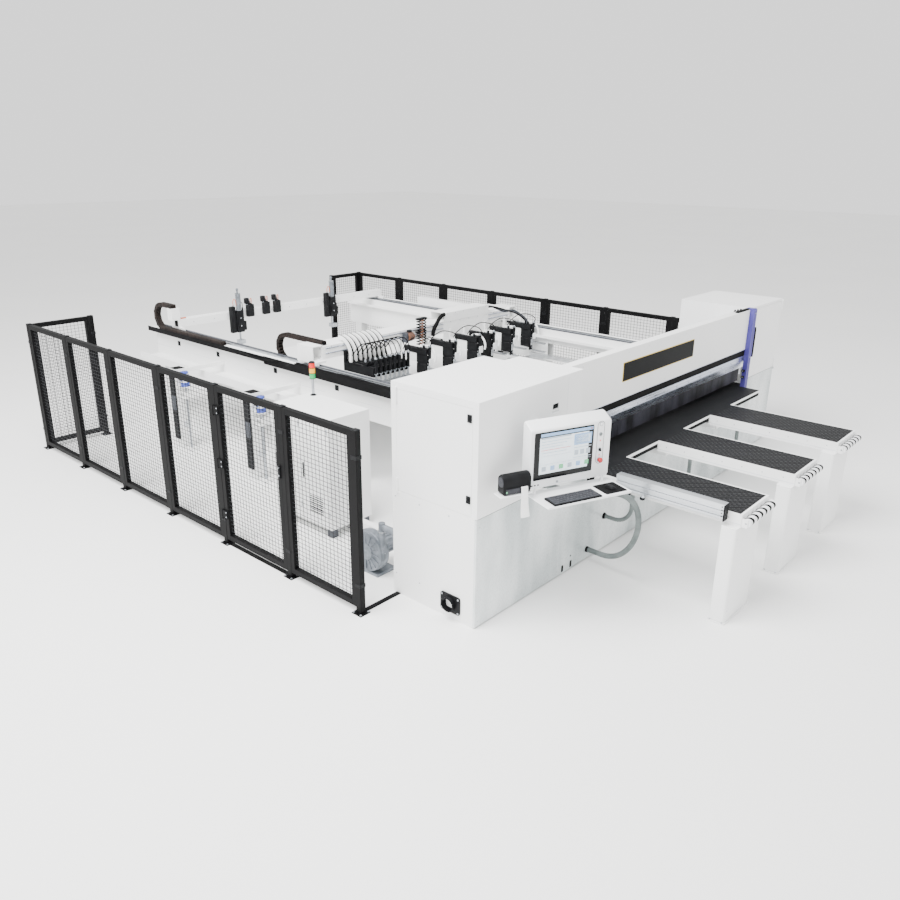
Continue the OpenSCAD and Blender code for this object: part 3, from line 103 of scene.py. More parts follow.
def linear(hex_code: str) -> tuple[float, float, float, float]:
    """Turns an sRGB colour into linear light.

    Args:
        hex_code: The colour as "#rrggbb".

    Returns:
        Linear red, green, blue and an alpha of one.
    """
    parts = [int(hex_code[i:i + 2], 16) / 255 for i in (1, 3, 5)]
    light = [c / 12.92 if c <= 0.04045 else ((c + 0.055) / 1.055) ** 2.4 for c in parts]
    return (light[0], light[1], light[2], 1.0)


def add_node(tree: bpy.types.NodeTree, kind: str, settings: dict | None = None,
             links: dict | None = None) -> bpy.types.Node:
    """Adds a shader node with its settings and links.

    Args:
        tree: The node tree that gets the node.
        kind: The node's type name.
        settings: Values by attribute name, or by input name or number.
        links: Output sockets by the input's name or number.

    Returns:
        The new node.
    """
    node = tree.nodes.new(kind)
    for key, value in (settings or {}).items():
        if isinstance(key, str) and hasattr(node, key):
            setattr(node, key, value)
        else:
            node.inputs[key].default_value = value
    for key, source in (links or {}).items():
        tree.links.new(source, node.inputs[key])
    return node


class Surface(Enum):
    """How a finish was made, which sets its fine pattern."""
    PLAIN = "plain"
    BRUSHED_X = "brushed along X"
    BRUSHED_Y = "brushed along Y"
    STREAKED = "streaked downwards"
    RIBBED = "diagonal anti-slip ribs"


# How much each sort's noises are drawn out along X, Y and Z; below one is longer.
STRETCH = {
    Surface.BRUSHED_X: (0.03, 1.0, 1.0),
    Surface.BRUSHED_Y: (1.0, 0.03, 1.0),
    Surface.STREAKED: (1.0, 1.0, 0.3),
}
NO_STRETCH = (1.0, 1.0, 1.0)
RIB_PITCH_MM = 44.0


@dataclass(frozen=True)
class Finish:
    """One real finish: its colours, gloss and fine grain.

    cloud_mm and grain_mm size its broad and its fine pattern, and cloud is how far the broad one
    goes from the light colour to the dark one. sheen is the level of mirrored light, under the usual
    0.5 on dark finishes, which would look grey under the white surround.
    """
    title: str
    light: str
    dark: str
    rough: tuple[float, float] = (0.4, 0.5)
    cloud_mm: float = 600.0
    cloud: float = 0.5
    grain_mm: float = 5.0
    bump_mm: float = 0.1
    metallic: float = 0.0
    ior: float = 1.5
    coat: float = 0.0
    glow: float = 0.0
    sheen: float = 0.5
    surface: Surface = Surface.PLAIN

    def material(self) -> bpy.types.Material:
        """Builds the procedural material once and finds it again after that.

        Returns:
            The material of this finish.
        """
        made = bpy.data.materials.get(self.title)
        if made is not None:
            return made
        made = bpy.data.materials.new(self.title)
        made.use_nodes = True
        tree = made.node_tree
        tree.nodes.clear()
        place = add_node(tree, "ShaderNodeTexCoord")
        drawn = add_node(tree, "ShaderNodeMapping", {"Scale": STRETCH.get(self.surface, NO_STRETCH)},
                         {"Vector": place.outputs["Object"]})
        cloud = add_node(tree, "ShaderNodeTexNoise",
                         {"Scale": 1 / (self.cloud_mm * MM), "Detail": 3.0},
                         {"Vector": drawn.outputs[0]})
        grain = add_node(tree, "ShaderNodeTexNoise",
                         {"Scale": 1 / (self.grain_mm * MM), "Detail": 2.0},
                         {"Vector": drawn.outputs[0]})
        share = add_node(tree, "ShaderNodeMapRange",
                         {"From Min": 0.36, "From Max": 0.64, "To Max": self.cloud},
                         {"Value": cloud.outputs[0]})
        factor, height = share.outputs[0], grain.outputs[0]
        if self.surface is Surface.RIBBED:
            ribs = add_node(tree, "ShaderNodeTexWave",
                            {"wave_type": "BANDS", "bands_direction": "DIAGONAL",
                             "Scale": math.tau / (10 * RIB_PITCH_MM * MM), "Distortion": 0.0},
                            {"Vector": place.outputs["Object"]})
            # The rib tops get the light colour: a painted highlight along the ribs.
            rib_top_highlight = add_node(tree, "ShaderNodeMapRange",
                            {"From Min": 0.78, "From Max": 0.97, "To Min": self.cloud, "To Max": 0.0},
                            {"Value": ribs.outputs["Fac"]})
            factor, height = rib_top_highlight.outputs[0], ribs.outputs["Fac"]
        colour = add_node(tree, "ShaderNodeMix",
                          {"data_type": "RGBA", 6: linear(self.light), 7: linear(self.dark)},
                          {0: factor})
        gloss = add_node(tree, "ShaderNodeMapRange",
                         {"From Min": 0.3, "From Max": 0.7,
                          "To Min": self.rough[0], "To Max": self.rough[1]},
                         {"Value": grain.outputs[0]})
        relief = add_node(tree, "ShaderNodeBump", {"Strength": 0.6, "Distance": self.bump_mm * MM},
                          {"Height": height})
        shader = add_node(tree, "ShaderNodeBsdfPrincipled",
                          {"Metallic": self.metallic, "IOR": self.ior, "Coat Weight": self.coat,
                           "Specular IOR Level": self.sheen,
                           "Emission Color": linear(self.light), "Emission Strength": self.glow},
                          {"Base Color": colour.outputs[2], "Roughness": gloss.outputs[0],
                           "Normal": relief.outputs[0]})
        add_node(tree, "ShaderNodeOutputMaterial", {}, {"Surface": shader.outputs[0]})
        return made


# Powder-coated sheet steel gives an even white with a faint orange-peel skin. Real orange peel
# is 1 to 2 mm across, and 6 mm is the finest that shows at this size.
POWDER_WHITE = Finish("powder_coat_white", "#F5F5F4", "#ECEDED", (0.42, 0.5), 1400, 0.6, 6, 0.12)
# Gloss enamel on the low panels, near white, with soft, long grey clouds of painted reflection and painted
# shade.
ENAMEL_PAINTED_REFLECTION_SHADE = Finish("gloss_enamel_painted_reflection_shade", "#E3E7E7", "#A3ADAE", (0.24, 0.34), 360, 0.8, 8, 0.1,
                     coat=0.3, surface=Surface.STREAKED)
# Powder coat in pale grey on the welded frames.
POWDER_GREY = Finish("powder_coat_pale_grey", "#DADDE0", "#C6CACE", (0.4, 0.5), 900, 0.5, 6, 0.12)
# Anodised aluminium profile, drawn along its length, with fine bright lines.
ANODISED = Finish("anodised_aluminium", "#DDE2EC", "#B4BCCE", (0.22, 0.34), 90, 0.8, 4, 0.08,
                  metallic=1.0, surface=Surface.BRUSHED_X)
# Milled aluminium of the squaring fence, drawn along Y.
MILLED = Finish("milled_aluminium", "#D3D6DA", "#B3B7BC", (0.28, 0.4), 90, 0.7, 4, 0.08,
                metallic=0.9, surface=Surface.BRUSHED_Y)
# Dyed anodised aluminium: violet, with lighter upright streaks painted in as a satin highlight.
VIOLET_PAINTED_STREAKS = Finish("dyed_anodised_violet_painted_streaks", "#5D55A6", "#423B82", (0.3, 0.42), 160, 0.6, 4, 0.05,
                metallic=0.25, sheen=0.25, surface=Surface.STREAKED)
# Nitrile rubber is dull and near black.
RUBBER = Finish("nitrile_rubber", "#121213", "#080809", (0.65, 0.8), 200, 0.6, 5, 0.15, sheen=0.1)
# Polyurethane strips, dark, with lighter streaks of a soft cold sheen painted in; their near-black is partly
# their own colour and partly painted shade under the beam.
CURTAIN_PAINTED_SHEEN_SHADE = Finish("polyurethane_strips_painted_sheen_shade", "#34343C", "#0B0B0D", (0.4, 0.55), 170, 0.9, 6, 0.2,
                 sheen=0.12, surface=Surface.STREAKED)
# Turned steel, bright with a fine lay.
TURNED_STEEL = Finish("turned_steel", "#B9BDC2", "#8E9398", (0.25, 0.38), 60, 0.6, 4, 0.05, metallic=1.0)
# Ground tool steel of the blades.
GROUND_STEEL = Finish("ground_tool_steel", "#CDD0D4", "#A9ADB2", (0.18, 0.28), 60, 0.5, 3, 0.03,
                      metallic=1.0)
# Ground steel table, drawn along the saw line.
TABLE_STEEL = Finish("ground_steel_table", "#DADCDE", "#BFC2C5", (0.26, 0.36), 140, 0.6, 4, 0.05,
                     metallic=0.85, surface=Surface.BRUSHED_X)
# Black phenolic board with an anti-slip rib pattern; the rib tops get the paler colour as a painted
# highlight.
PHENOLIC_PAINTED_RIB_SHEEN = Finish("black_phenolic_painted_rib_sheen", "#3A3B3D", "#050506", (0.5, 0.65), 120, 1.0, 5, 1.2,
                  sheen=0.1, surface=Surface.RIBBED)
# Acetal valve rings, black and a little glossy.
ACETAL = Finish("acetal_black", "#1C1D1F", "#0C0D0E", (0.35, 0.45), 60, 0.6, 3, 0.05, sheen=0.2)
# Enamel on the lift motors: deep blue.
MOTOR_BLUE = Finish("motor_enamel_blue", "#3A4FAE", "#26357C", (0.25, 0.38), 90, 0.6, 5, 0.1, coat=0.3)
# Cast aluminium, sand-cast skin, grey.
CAST_GREY = Finish("cast_aluminium", "#8A9097", "#5E646B", (0.42, 0.58), 80, 0.8, 6, 0.35, metallic=0.5)
# Painted cast iron, dark grey.
CAST_DARK = Finish("painted_cast_iron", "#4A4D54", "#2F3237", (0.45, 0.58), 90, 0.6, 5, 0.3, sheen=0.3)
# Soft PVC hose: grey with a green tinge, in soft lighter and darker clouds.
PVC_GREY = Finish("pvc_hose_grey", "#7C8483", "#5D6564", (0.48, 0.62), 120, 0.7, 6, 0.15, sheen=0.3)
# Painted ABS of the console, smooth and white.
ABS_WHITE = Finish("painted_abs_white", "#F5F6F7", "#EBEDEF", (0.3, 0.4), 500, 0.5, 4, 0.05, coat=0.15)
# Moulded ABS with a fine spark-eroded grain, black.
ABS_BLACK = Finish("moulded_abs_black", "#121315", "#08080A", (0.5, 0.62), 90, 0.6, 3, 0.12, sheen=0.15)
# Key caps, lighter than their base.
KEY_GREY = Finish("moulded_key_caps", "#3B3C41", "#2A2B2F", (0.45, 0.55), 30, 0.6, 2, 0.05, sheen=0.2)
# Cover glass, black and very smooth.
GLASS_BLACK = Finish("cover_glass_black", "#0B0C0E", "#060708", (0.08, 0.14), 100, 0.5, 10, 0.0, sheen=0.25)
# A lit liquid crystal display, pale blue-white.
DISPLAY = Finish("lit_display", "#E4EEF4", "#D5E2EA", (0.12, 0.18), 160, 0.8, 10, 0.0, glow=0.55)
# Marks drawn on the display, each in one colour.
DISPLAY_BLUE, DISPLAY_GREY, DISPLAY_RED, DISPLAY_GREEN = (
    Finish(f"lit_display_{name}", light, dark, (0.12, 0.18), 60, 0.5, 10, 0.0, glow=0.35)
    for name, light, dark in (("blue", "#8FB2D9", "#7FA4CF"), ("grey", "#AEB9C3", "#9DA9B4"),
                              ("red", "#D97B78", "#C96663"), ("green", "#6DBE8A", "#57A976")))
# Moulded polyamide of the mushroom button, red and glossy.
STOP_RED = Finish("polyamide_red", "#C8161D", "#A81015", (0.18, 0.28), 40, 0.6, 3, 0.03, coat=0.4)
# Polycarbonate lenses of the signal tower.
LENS_RED, LENS_AMBER, LENS_GREEN = (
    Finish(f"polycarbonate_{name}", light, dark, (0.12, 0.2), 40, 0.5, 4, 0.05, glow=0.35)
    for name, light, dark in (("red", "#E3231B", "#BC1711"), ("amber", "#F4AE22", "#D08D12"),
                              ("green", "#1FA35C", "#148046")))
# Thermal label paper, matte white.
PAPER = Finish("thermal_paper", "#FAFAF8", "#F1F1EE", (0.7, 0.8), 60, 0.5, 3, 0.05)
# Glass-filled polyamide of the energy chains: brown-black, dull, dusty.
POLYAMIDE = Finish("polyamide_chain", "#2B2320", "#120F0E", (0.5, 0.65), 90, 0.8, 5, 0.2, sheen=0.15)
# Powder-coated steel tube of the fences, black.
FENCE_BLACK = Finish("powder_coat_black", "#0A0A0B", "#050506", (0.5, 0.62), 400, 0.6, 5, 0.12, sheen=0.1)
# Welded wire, painted dark grey.
WIRE = Finish("welded_wire_painted", "#26272A", "#191A1C", (0.45, 0.55), 120, 0.6, 5, 0.05, sheen=0.2)
# Polyurethane air hose, orange.
HOSE_ORANGE = Finish("polyurethane_hose_orange", "#DC6B37", "#BE5426", (0.25, 0.35), 90, 0.6, 4, 0.03)
# Copper-coloured windings and coiled air lines.
COPPER = Finish("coiled_copper_line", "#9A6A50", "#6E4834", (0.35, 0.5), 60, 0.7, 4, 0.1, metallic=0.4)
# Enamelled sheet for the bare plate and its thin rim.
PLATE_BLACK = Finish("enamelled_plate_black", "#090A0C", "#040405", (0.45, 0.55), 300, 0.6, 6, 0.05,
                     sheen=0.1)
PLATE_RIM = Finish("enamelled_rim_yellow", "#D9BC4A", "#BFA238", (0.3, 0.4), 200, 0.5, 6, 0.03)
# Zinc-plated bolts.
ZINC = Finish("zinc_plated_steel", "#C3C6CA", "#A1A5AA", (0.28, 0.4), 20, 0.6, 3, 0.05, metallic=1.0)
# Painted shade: a dark patch that stands for the shadow in an opening in sheet metal.
OPENING_PAINTED_SHADE = Finish("painted_shade_opening", "#141517", "#0B0C0D", (0.7, 0.8), 100, 0.5, 6, 0.05, sheen=0.1)


def rounded(outline: Sequence[tuple[float, float]], radius: float,
            steps: int = 4) -> list[tuple[float, float]]:
    """Rounds the corners of an outline.

    Args:
        outline: The corners in order.
        radius: How far from each corner the rounding starts.
        steps: How many stretches each corner gets.

    Returns:
        The outline with curved corners.
    """
    made = []
    for i, corner in enumerate(outline):
        here = Vector(corner)
        before = Vector(outline[i - 1]) - here
        after = Vector(outline[(i + 1) % len(outline)]) - here
        a = here + before.normalized() * min(radius, before.length / 2)
        b = here + after.normalized() * min(radius, after.length / 2)
        for k in range(steps + 1):
            t = k / steps
            p = a * (1 - t) ** 2 + here * 2 * t * (1 - t) + b * t ** 2
            made.append((p.x, p.y))
    return made


def plate(low: tuple[float, float], high: tuple[float, float], radius: float,
          steps: int = 4) -> list[tuple[float, float]]:
    """The outline of a rectangle with rounded corners.

    Args:
        low: Its low corner.
        high: Its high corner.
        radius: How far from each corner the rounding starts.
        steps: How many stretches each corner gets.

    Returns:
        The outline, from the low corner on.
    """
    (a0, b0), (a1, b1) = low, high
    return rounded([(a0, b0), (a1, b0), (a1, b1), (a0, b1)], radius, steps)


def smooth_route(route: Sequence[Point], count: int) -> list[Vector]:
    """Runs one smooth curve through a route's points, as the CAD hose does.

    Args:
        route: The points that the curve passes.
        count: How many stretches to cut it into.

    Returns:
        count + 1 points along the curve.
    """
    points = [Vector(p) for p in route]
    points = [2 * points[0] - points[1], *points, 2 * points[-1] - points[-2]]
    made = []
    for k in range(count + 1):
        u = min(k / count * (len(route) - 1), len(route) - 1.0001)
        i = int(u)
        t = u - i
        a, b, c, d = points[i:i + 4]
        made.append(0.5 * (2 * b + (c - a) * t + (2 * a - 5 * b + 4 * c - d) * t ** 2
                           + (3 * b - a - 3 * c + d) * t ** 3))
    return made


class Maker:
    """Collects solids in millimetres and turns them into one piece."""

    def __init__(self, name: str, place: Matrix | None = None) -> None:
        """Starts an empty piece.

        Args:
            name: The piece's name.
            place: Where the local sizes lie in machine places.
        """
        self.name = name
        self.place = place or HOME
        self.points: list[Vector] = []
        self.faces: list[tuple[int, ...]] = []
        self.looks: list[int] = []
        self.finishes: list[Finish] = []

    def add(self, points: Iterable[Point], faces: Iterable[Sequence[int]], finish: Finish) -> None:
        """Adds points and the faces between them.

        Args:
            points: Local points.
            faces: Faces as indices into points.
            finish: The faces' finish.
        """
        start = len(self.points)
        self.points += [self.place @ Vector(p) for p in points]
        if finish not in self.finishes:
            self.finishes.append(finish)
        new = [tuple(start + i for i in f) for f in faces]
        self.faces += new
        self.looks += [self.finishes.index(finish)] * len(new)

    def box(self, low: Point, high: Point, finish: Finish, edge: float = 2.0) -> None:
        """Adds a box with chamfered edges.

        Args:
            low: Its low corner.
            high: Its high corner.
            finish: Its finish.
            edge: The chamfer's width.
        """
        mid = [(a + b) / 2 for a, b in zip(low, high)]
        half = [abs(b - a) / 2 for a, b in zip(low, high)]
        cut = min(edge, 0.9 * min(half))
        corners = [(x, y, z) for x in (-1, 1) for y in (-1, 1) for z in (-1, 1)]
        number = {c: i for i, c in enumerate(corners)}
        points = [[mid[k] + c[k] * (half[k] if k == a else half[k] - cut) for k in range(3)]
                  for c in corners for a in range(3)]
        faces = [[3 * i, 3 * i + 1, 3 * i + 2] for i in range(8)]
        for a in range(3):
            b, c = (a + 1) % 3, (a + 2) % 3
            for s in (-1, 1):
                ring = []
                for sb, sc in ((-1, -1), (1, -1), (1, 1), (-1, 1)):
                    key = [0, 0, 0]
                    key[a], key[b], key[c] = s, sb, sc
                    ring.append(3 * number[tuple(key)] + a)
                faces.append(ring)
            for sb in (-1, 1):
                for sc in (-1, 1):
                    ends = []
                    for s in (-1, 1):
                        key = [0, 0, 0]
                        key[a], key[b], key[c] = s, sb, sc
                        ends.append(3 * number[tuple(key)])
                    faces.append([ends[0] + b, ends[1] + b, ends[1] + c, ends[0] + c])
        self.add(points, faces, finish)

    def lathe(self, base: Point, axis: Point, profile: Sequence[tuple[float, float]], finish: Finish,
              sides: int = 24, ring: bool = False) -> None:
        """Adds a turned solid.

        Args:
            base: The point from which heights count.
            axis: The direction of the heights.
            profile: Pairs of height and radius.
            finish: Its finish.
            sides: Facets round the axis.
            ring: Whether the profile closes on itself and leaves a bore.
        """
        along = Vector(axis).normalized()
        side = along.orthogonal().normalized()
        up = along.cross(side)
        points = []
        for height, radius in profile:
            for k in range(sides):
                a = math.tau * k / sides
                spoke = side * math.cos(a) + up * math.sin(a)
                points.append(Vector(base) + along * height + spoke * radius)
        rows = len(profile)
        faces = [[i * sides + k, i * sides + (k + 1) % sides,
                  (i + 1) % rows * sides + (k + 1) % sides, (i + 1) % rows * sides + k]
                 for i in range(rows if ring else rows - 1) for k in range(sides)]
        if not ring:
            faces += [list(range(sides)), list(range((rows - 1) * sides, rows * sides))]
        self.add(points, faces, finish)

    def rod(self, start: Point, end: Point, radius: float, finish: Finish, sides: int = 20,
            edge: float = 1.0) -> None:
        """Adds a round bar with chamfered ends.

        Args:
            start: The middle of one end.
            end: The middle of the other end.
            radius: Its radius.
            finish: Its finish.
            sides: Facets round it.
            edge: The chamfer's width.
        """
        way = Vector(end) - Vector(start)
        e = min(edge, radius * 0.6, way.length * 0.4)
        self.lathe(start, way, [(0, radius - e), (e, radius), (way.length - e, radius),
                                (way.length, radius - e)], finish, sides)

    def bolt(self, base: Point, axis: Point, size: float) -> None:
        """Adds a zinc-plated hexagon head on a washer.

        Args:
            base: The middle of the washer's seat.
            axis: Where the head points.
            size: The head's size across its corners.
        """
        r = size / 2
        self.lathe(base, axis, [(0, r * 1.35), (size * 0.1, r * 1.35)], ZINC, 16)
        self.lathe(base, axis, [(0, r), (size * 0.42, r), (size * 0.5, r * 0.8)], ZINC, 6)

    def bolts(self, xs: Iterable[float], ys: Iterable[float], zs: Iterable[float], axis: Point,
              size: float) -> None:
        """Adds a bolt wherever the given places on X, Y and Z meet.

        Args:
            xs: The places on X.
            ys: The places on Y.
            zs: The places on Z.
            axis: Where the heads point.
            size: The heads' size across their corners.
        """
        for spot in product(xs, ys, zs):
            self.bolt(spot, axis, size)

    def heads(self, xs: Iterable[float], ys: Iterable[float], zs: Iterable[float], axis: Point,
              profile: Sequence[tuple[float, float]], finish: Finish, sides: int = 12) -> None:
        """Adds a turned head wherever the given places on X, Y and Z meet.

        Args:
            xs: The places on X.
            ys: The places on Y.
            zs: The places on Z.
            axis: Where the heads point.
            profile: Pairs of height and radius.
            finish: Their finish.
            sides: Facets round the axis.
        """
        for spot in product(xs, ys, zs):
            self.lathe(spot, axis, profile, finish, sides)

    def tube(self, route: Sequence[Point], radius: float | Sequence[float], finish: Finish,
             sides: int = 10, closed: bool = False) -> None:
        """Adds a round tube along a route.

        Args:
            route: The centreline's points.
            radius: One radius, or one for each point.
            finish: Its finish.
            sides: Facets round the tube.
            closed: Whether the route returns to its start.
        """
        line = [Vector(p) for p in route]
        radii = [radius] * len(line) if isinstance(radius, (int, float)) else list(radius)
        count = len(line)
        points = []
        side = None
        for i, here in enumerate(line):
            before = line[i - 1] if i or closed else here
            after = line[(i + 1) % count] if i < count - 1 or closed else here
            heading = (after - before).normalized()
            side = heading.orthogonal() if side is None else side - heading * side.dot(heading)
            side = side.normalized()
            up = heading.cross(side)
            for k in range(sides):
                a = math.tau * k / sides
                points.append(here + (side * math.cos(a) + up * math.sin(a)) * radii[i])
        faces = [[i * sides + k, i * sides + (k + 1) % sides,
                  (i + 1) % count * sides + (k + 1) % sides, (i + 1) % count * sides + k]
                 for i in range(count if closed else count - 1) for k in range(sides)]
        if not closed:
            faces += [list(range(sides)), list(range((count - 1) * sides, count * sides))]
        self.add(points, faces, finish)

    def prism(self, outline: Sequence[tuple[float, float]], axis: int, low: float, high: float,
              finish: Finish, edge: float = 2.0) -> None:
        """Adds an outline drawn out along an axis, with chamfered ends.

        Args:
            outline: Points in the plane of the two axes that follow axis.
            axis: 0, 1 or 2 for X, Y or Z.
            low: Where it starts.
            high: Where it ends.
            finish: Its finish.
            edge: The chamfer's width.
        """
        flat = [Vector(p) for p in outline]
        middle = sum(flat, Vector((0.0, 0.0))) / len(flat)
        reach = max((p - middle).length for p in flat)
        shrink = max(0.1, 1 - edge / reach)
        levels = [(low, shrink), (low + edge, 1.0), (high - edge, 1.0), (high, shrink)]
        points = []
        for level, size in levels:
            for p in flat:
                q = middle + (p - middle) * size
                key = [0.0, 0.0, 0.0]
                key[axis], key[(axis + 1) % 3], key[(axis + 2) % 3] = level, q.x, q.y
                points.append(key)
        n = len(flat)
        faces = [[i * n + k, i * n + (k + 1) % n, (i + 1) * n + (k + 1) % n, (i + 1) * n + k]
                 for i in range(3) for k in range(n)]
        faces += [list(range(n)), list(range(3 * n, 4 * n))]
        self.add(points, faces, finish)

    def piece(self, body: str, slot: str, replaces: Sequence[str] = ()) -> bpy.types.Object:
        """Turns what was collected into one piece of the object.

        Args:
            body: The CAD body that it rides on.
            slot: The record's material slot; not used.
            replaces: CAD nodes that it stands for.

        Returns:
            The new object.
        """
        mesh = bpy.data.meshes.new(self.name)
        mesh.from_pydata([at(*p) for p in self.points], [], self.faces)
        for finish in self.finishes:
            mesh.materials.append(finish.material())
        mesh.polygons.foreach_set("material_index", self.looks)
        mesh.polygons.foreach_set("use_smooth", [True] * len(self.faces))
        work = bmesh.new()
        work.from_mesh(mesh)
        bmesh.ops.recalc_face_normals(work, faces=work.faces)
        work.to_mesh(mesh)
        work.free()
        mesh.set_sharp_from_angle(angle=math.radians(SHARP_DEG))
        made = linked(self.name, mesh)
        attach(made, body)
        if replaces:
            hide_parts(*replaces)
        LOG.info("%s: %d faces on %s", self.name, len(self.faces), body)
        return made


class Skin:
    """Gives the CAD nodes their finishes, solid by solid where a node has several."""

    def islands(self, mesh: bpy.types.Mesh) -> list[tuple[list[int], Vector, Vector]]:
        """Finds the separate solids of a node.

        Args:
            mesh: The node's mesh.

        Returns:
            For each solid its faces and its low and high corner in machine places.
        """
        keys = [tuple(round(c, 5) for c in v.co) for v in mesh.vertices]
        number: dict[tuple, int] = {}
        spot = [number.setdefault(k, len(number)) for k in keys]
        parent = list(range(len(number)))

        def root(i: int) -> int:
            """The first point of the solid that a point belongs to."""
            while parent[i] != i:
                parent[i] = parent[parent[i]]
                i = parent[i]
            return i

        for face in mesh.polygons:
            first = root(spot[face.vertices[0]])
            for v in face.vertices[1:]:
                parent[root(spot[v])] = first
        groups: dict[int, list[int]] = {}
        for face in mesh.polygons:
            groups.setdefault(root(spot[face.vertices[0]]), []).append(face.index)
        made = []
        for faces in groups.values():
            corners = [machine_place(mesh.vertices[v].co) for f in faces for v in mesh.polygons[f].vertices]
            made.append((faces, Vector([min(c[k] for c in corners) for k in range(3)]),
                         Vector([max(c[k] for c in corners) for k in range(3)])))
        return made

    def paint(self, node: str, base: Finish,
              rules: Sequence[tuple[Finish, Callable[[Vector, Vector], bool]]] = ()) -> None:
        """Gives one node its finishes.

        Args:
            node: The CAD node.
            base: The finish of what no rule names.
            rules: Finishes with a test on a solid's low and high corner. The first that holds is used.
        """
        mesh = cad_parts[node].data
        mesh.materials.clear()
        mesh.materials.append(base.material())
        mesh.polygons.foreach_set("material_index", [0] * len(mesh.polygons))
        if rules:
            for finish, _ in rules:
                mesh.materials.append(finish.material())
            for faces, low, high in self.islands(mesh):
                look = next((i + 1 for i, (_, test) in enumerate(rules) if test(low, high)), 0)
                for f in faces:
                    mesh.polygons[f].material_index = look
        mesh.update()

    def dress(self) -> None:
        """Gives every CAD node its finish.

        The tests tell a node's solids apart by their places and sizes in millimetres.
        """
        plain = {
            POWDER_WHITE: ["left_cabinet", "right_cabinet", "left_side_door", "right_door", "side_beams",
                           "table_legs", "pusher_gantry", "lift_deck", "air_tables"],
            # The base's front panel gets painted reflection and shade in the enamel's grey clouds.
            ENAMEL_PAINTED_REFLECTION_SHADE: ["base_front_panel"],
            POWDER_GREY: ["portal_beam", "pressure_beam", "base_frame", "saw_carriage", "saw_lift"],
            ABS_BLACK: ["side_door_latches", "right_door_handle", "dust_port", "keyboard",
                        "label_printer", "selector_knob"],
            ANODISED: ["bright_profile"],
            CURTAIN_PAINTED_SHEEN_SHADE: ["curtain_strips"],
            RUBBER: ["pressure_pads", "drive_belt"],
            CAST_DARK: ["saw_motor"],
            GROUND_STEEL: ["main_blade", "scoring_blade"],
            ABS_WHITE: ["console_arm", "console_housing", "keyboard_tray", "start_button"],
            PHENOLIC_PAINTED_RIB_SHEEN: ["air_table_tops"],
            PVC_GREY: ["air_hoses", "console_hose"],
            GLASS_BLACK: ["console_screen"],
            STOP_RED: ["emergency_stop"],
            POLYAMIDE: ["cable_chains"],
            ZINC: ["clamp_jaws"],
            TURNED_STEEL: ["pusher_shaft", "feeder_fingers", "lift_screw_1", "lift_screw_2",
                           "lift_screw_3", "lift_screw_4", "nose_roller_1", "nose_roller_2", "nose_roller_3"],
            FENCE_BLACK: ["guard_fences", "fence_gate"],
        }
        for finish, nodes in plain.items():
            for node in nodes:
                self.paint(node, finish)
        # The saw table's front plates under the beam get the black finish as painted shade of the beam.
        self.paint("saw_table", TABLE_STEEL, [(PHENOLIC_PAINTED_RIB_SHEEN, lambda lo, hi: hi.y < 440 and hi.z > 1000)])
        # The low front panels get the enamel with its painted reflection and shade.
        self.paint("front_panels", ENAMEL_PAINTED_REFLECTION_SHADE, [(POWDER_WHITE, lambda lo, hi: hi.z > 1500)])
        self.paint("beam_cover", POWDER_WHITE, [(RUBBER, lambda lo, hi: hi.z < 1510)])
        # The column's violet carries streaks of painted highlight.
        self.paint("guide_column", RUBBER, [(VIOLET_PAINTED_STREAKS, lambda lo, hi: lo.z < 100)])
        self.paint("squaring_fence", ABS_BLACK, [(MILLED, lambda lo, hi: hi.y - lo.y > 500)])
        self.paint("guide_rails", TURNED_STEEL, [(CAST_DARK, lambda lo, hi: hi.z - lo.z < 17)])
        self.paint("lift_columns", POWDER_WHITE,
                   [(MOTOR_BLUE, lambda lo, hi: lo.z > 885 and hi.x - lo.x < 112 and hi.z < 1075
                     and hi.y - lo.y < 112)])
        self.paint("clamps", ABS_BLACK,
                   [(POWDER_WHITE, lambda lo, hi: hi.x - lo.x < 30 or (hi.z < 1207 and hi.x < 2700)
                     or (lo.x > 2700 and (hi.y - lo.y > 500 or lo.y > 3800))),
                    (ZINC, lambda lo, hi: hi.z < 1050)])
        self.paint("feeder", POWDER_WHITE, [
            (HOSE_ORANGE, lambda lo, hi: hi.x - lo.x > 900 and hi.z - lo.z < 25),
            (CAST_GREY, lambda lo, hi: lo.z > 1515 and hi.x - lo.x < 75),
            (POLYAMIDE, lambda lo, hi: hi.y - lo.y > 1200 and hi.x < 1500),
            (ABS_BLACK, lambda lo, hi: hi.x - lo.x < 130 and hi.y - lo.y < 95 and hi.x > 2000)])
        self.paint("service_units", POWDER_WHITE, [
            (LENS_RED, lambda lo, hi: lo.z > 1600 and hi.x - lo.x < 80),
            (LENS_AMBER, lambda lo, hi: lo.z > 1545 and hi.x - lo.x < 80),
            (LENS_GREEN, lambda lo, hi: lo.z > 1485 and hi.x - lo.x < 80),
            (TURNED_STEEL, lambda lo, hi: lo.z > 1290 and hi.x - lo.x < 40),
            (CAST_DARK, lambda lo, hi: hi.z < 101 and hi.x - lo.x < 90),
            (CAST_GREY, lambda lo, hi: hi.y < 2170)])
        LOG.info("dressed %d nodes", len(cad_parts))


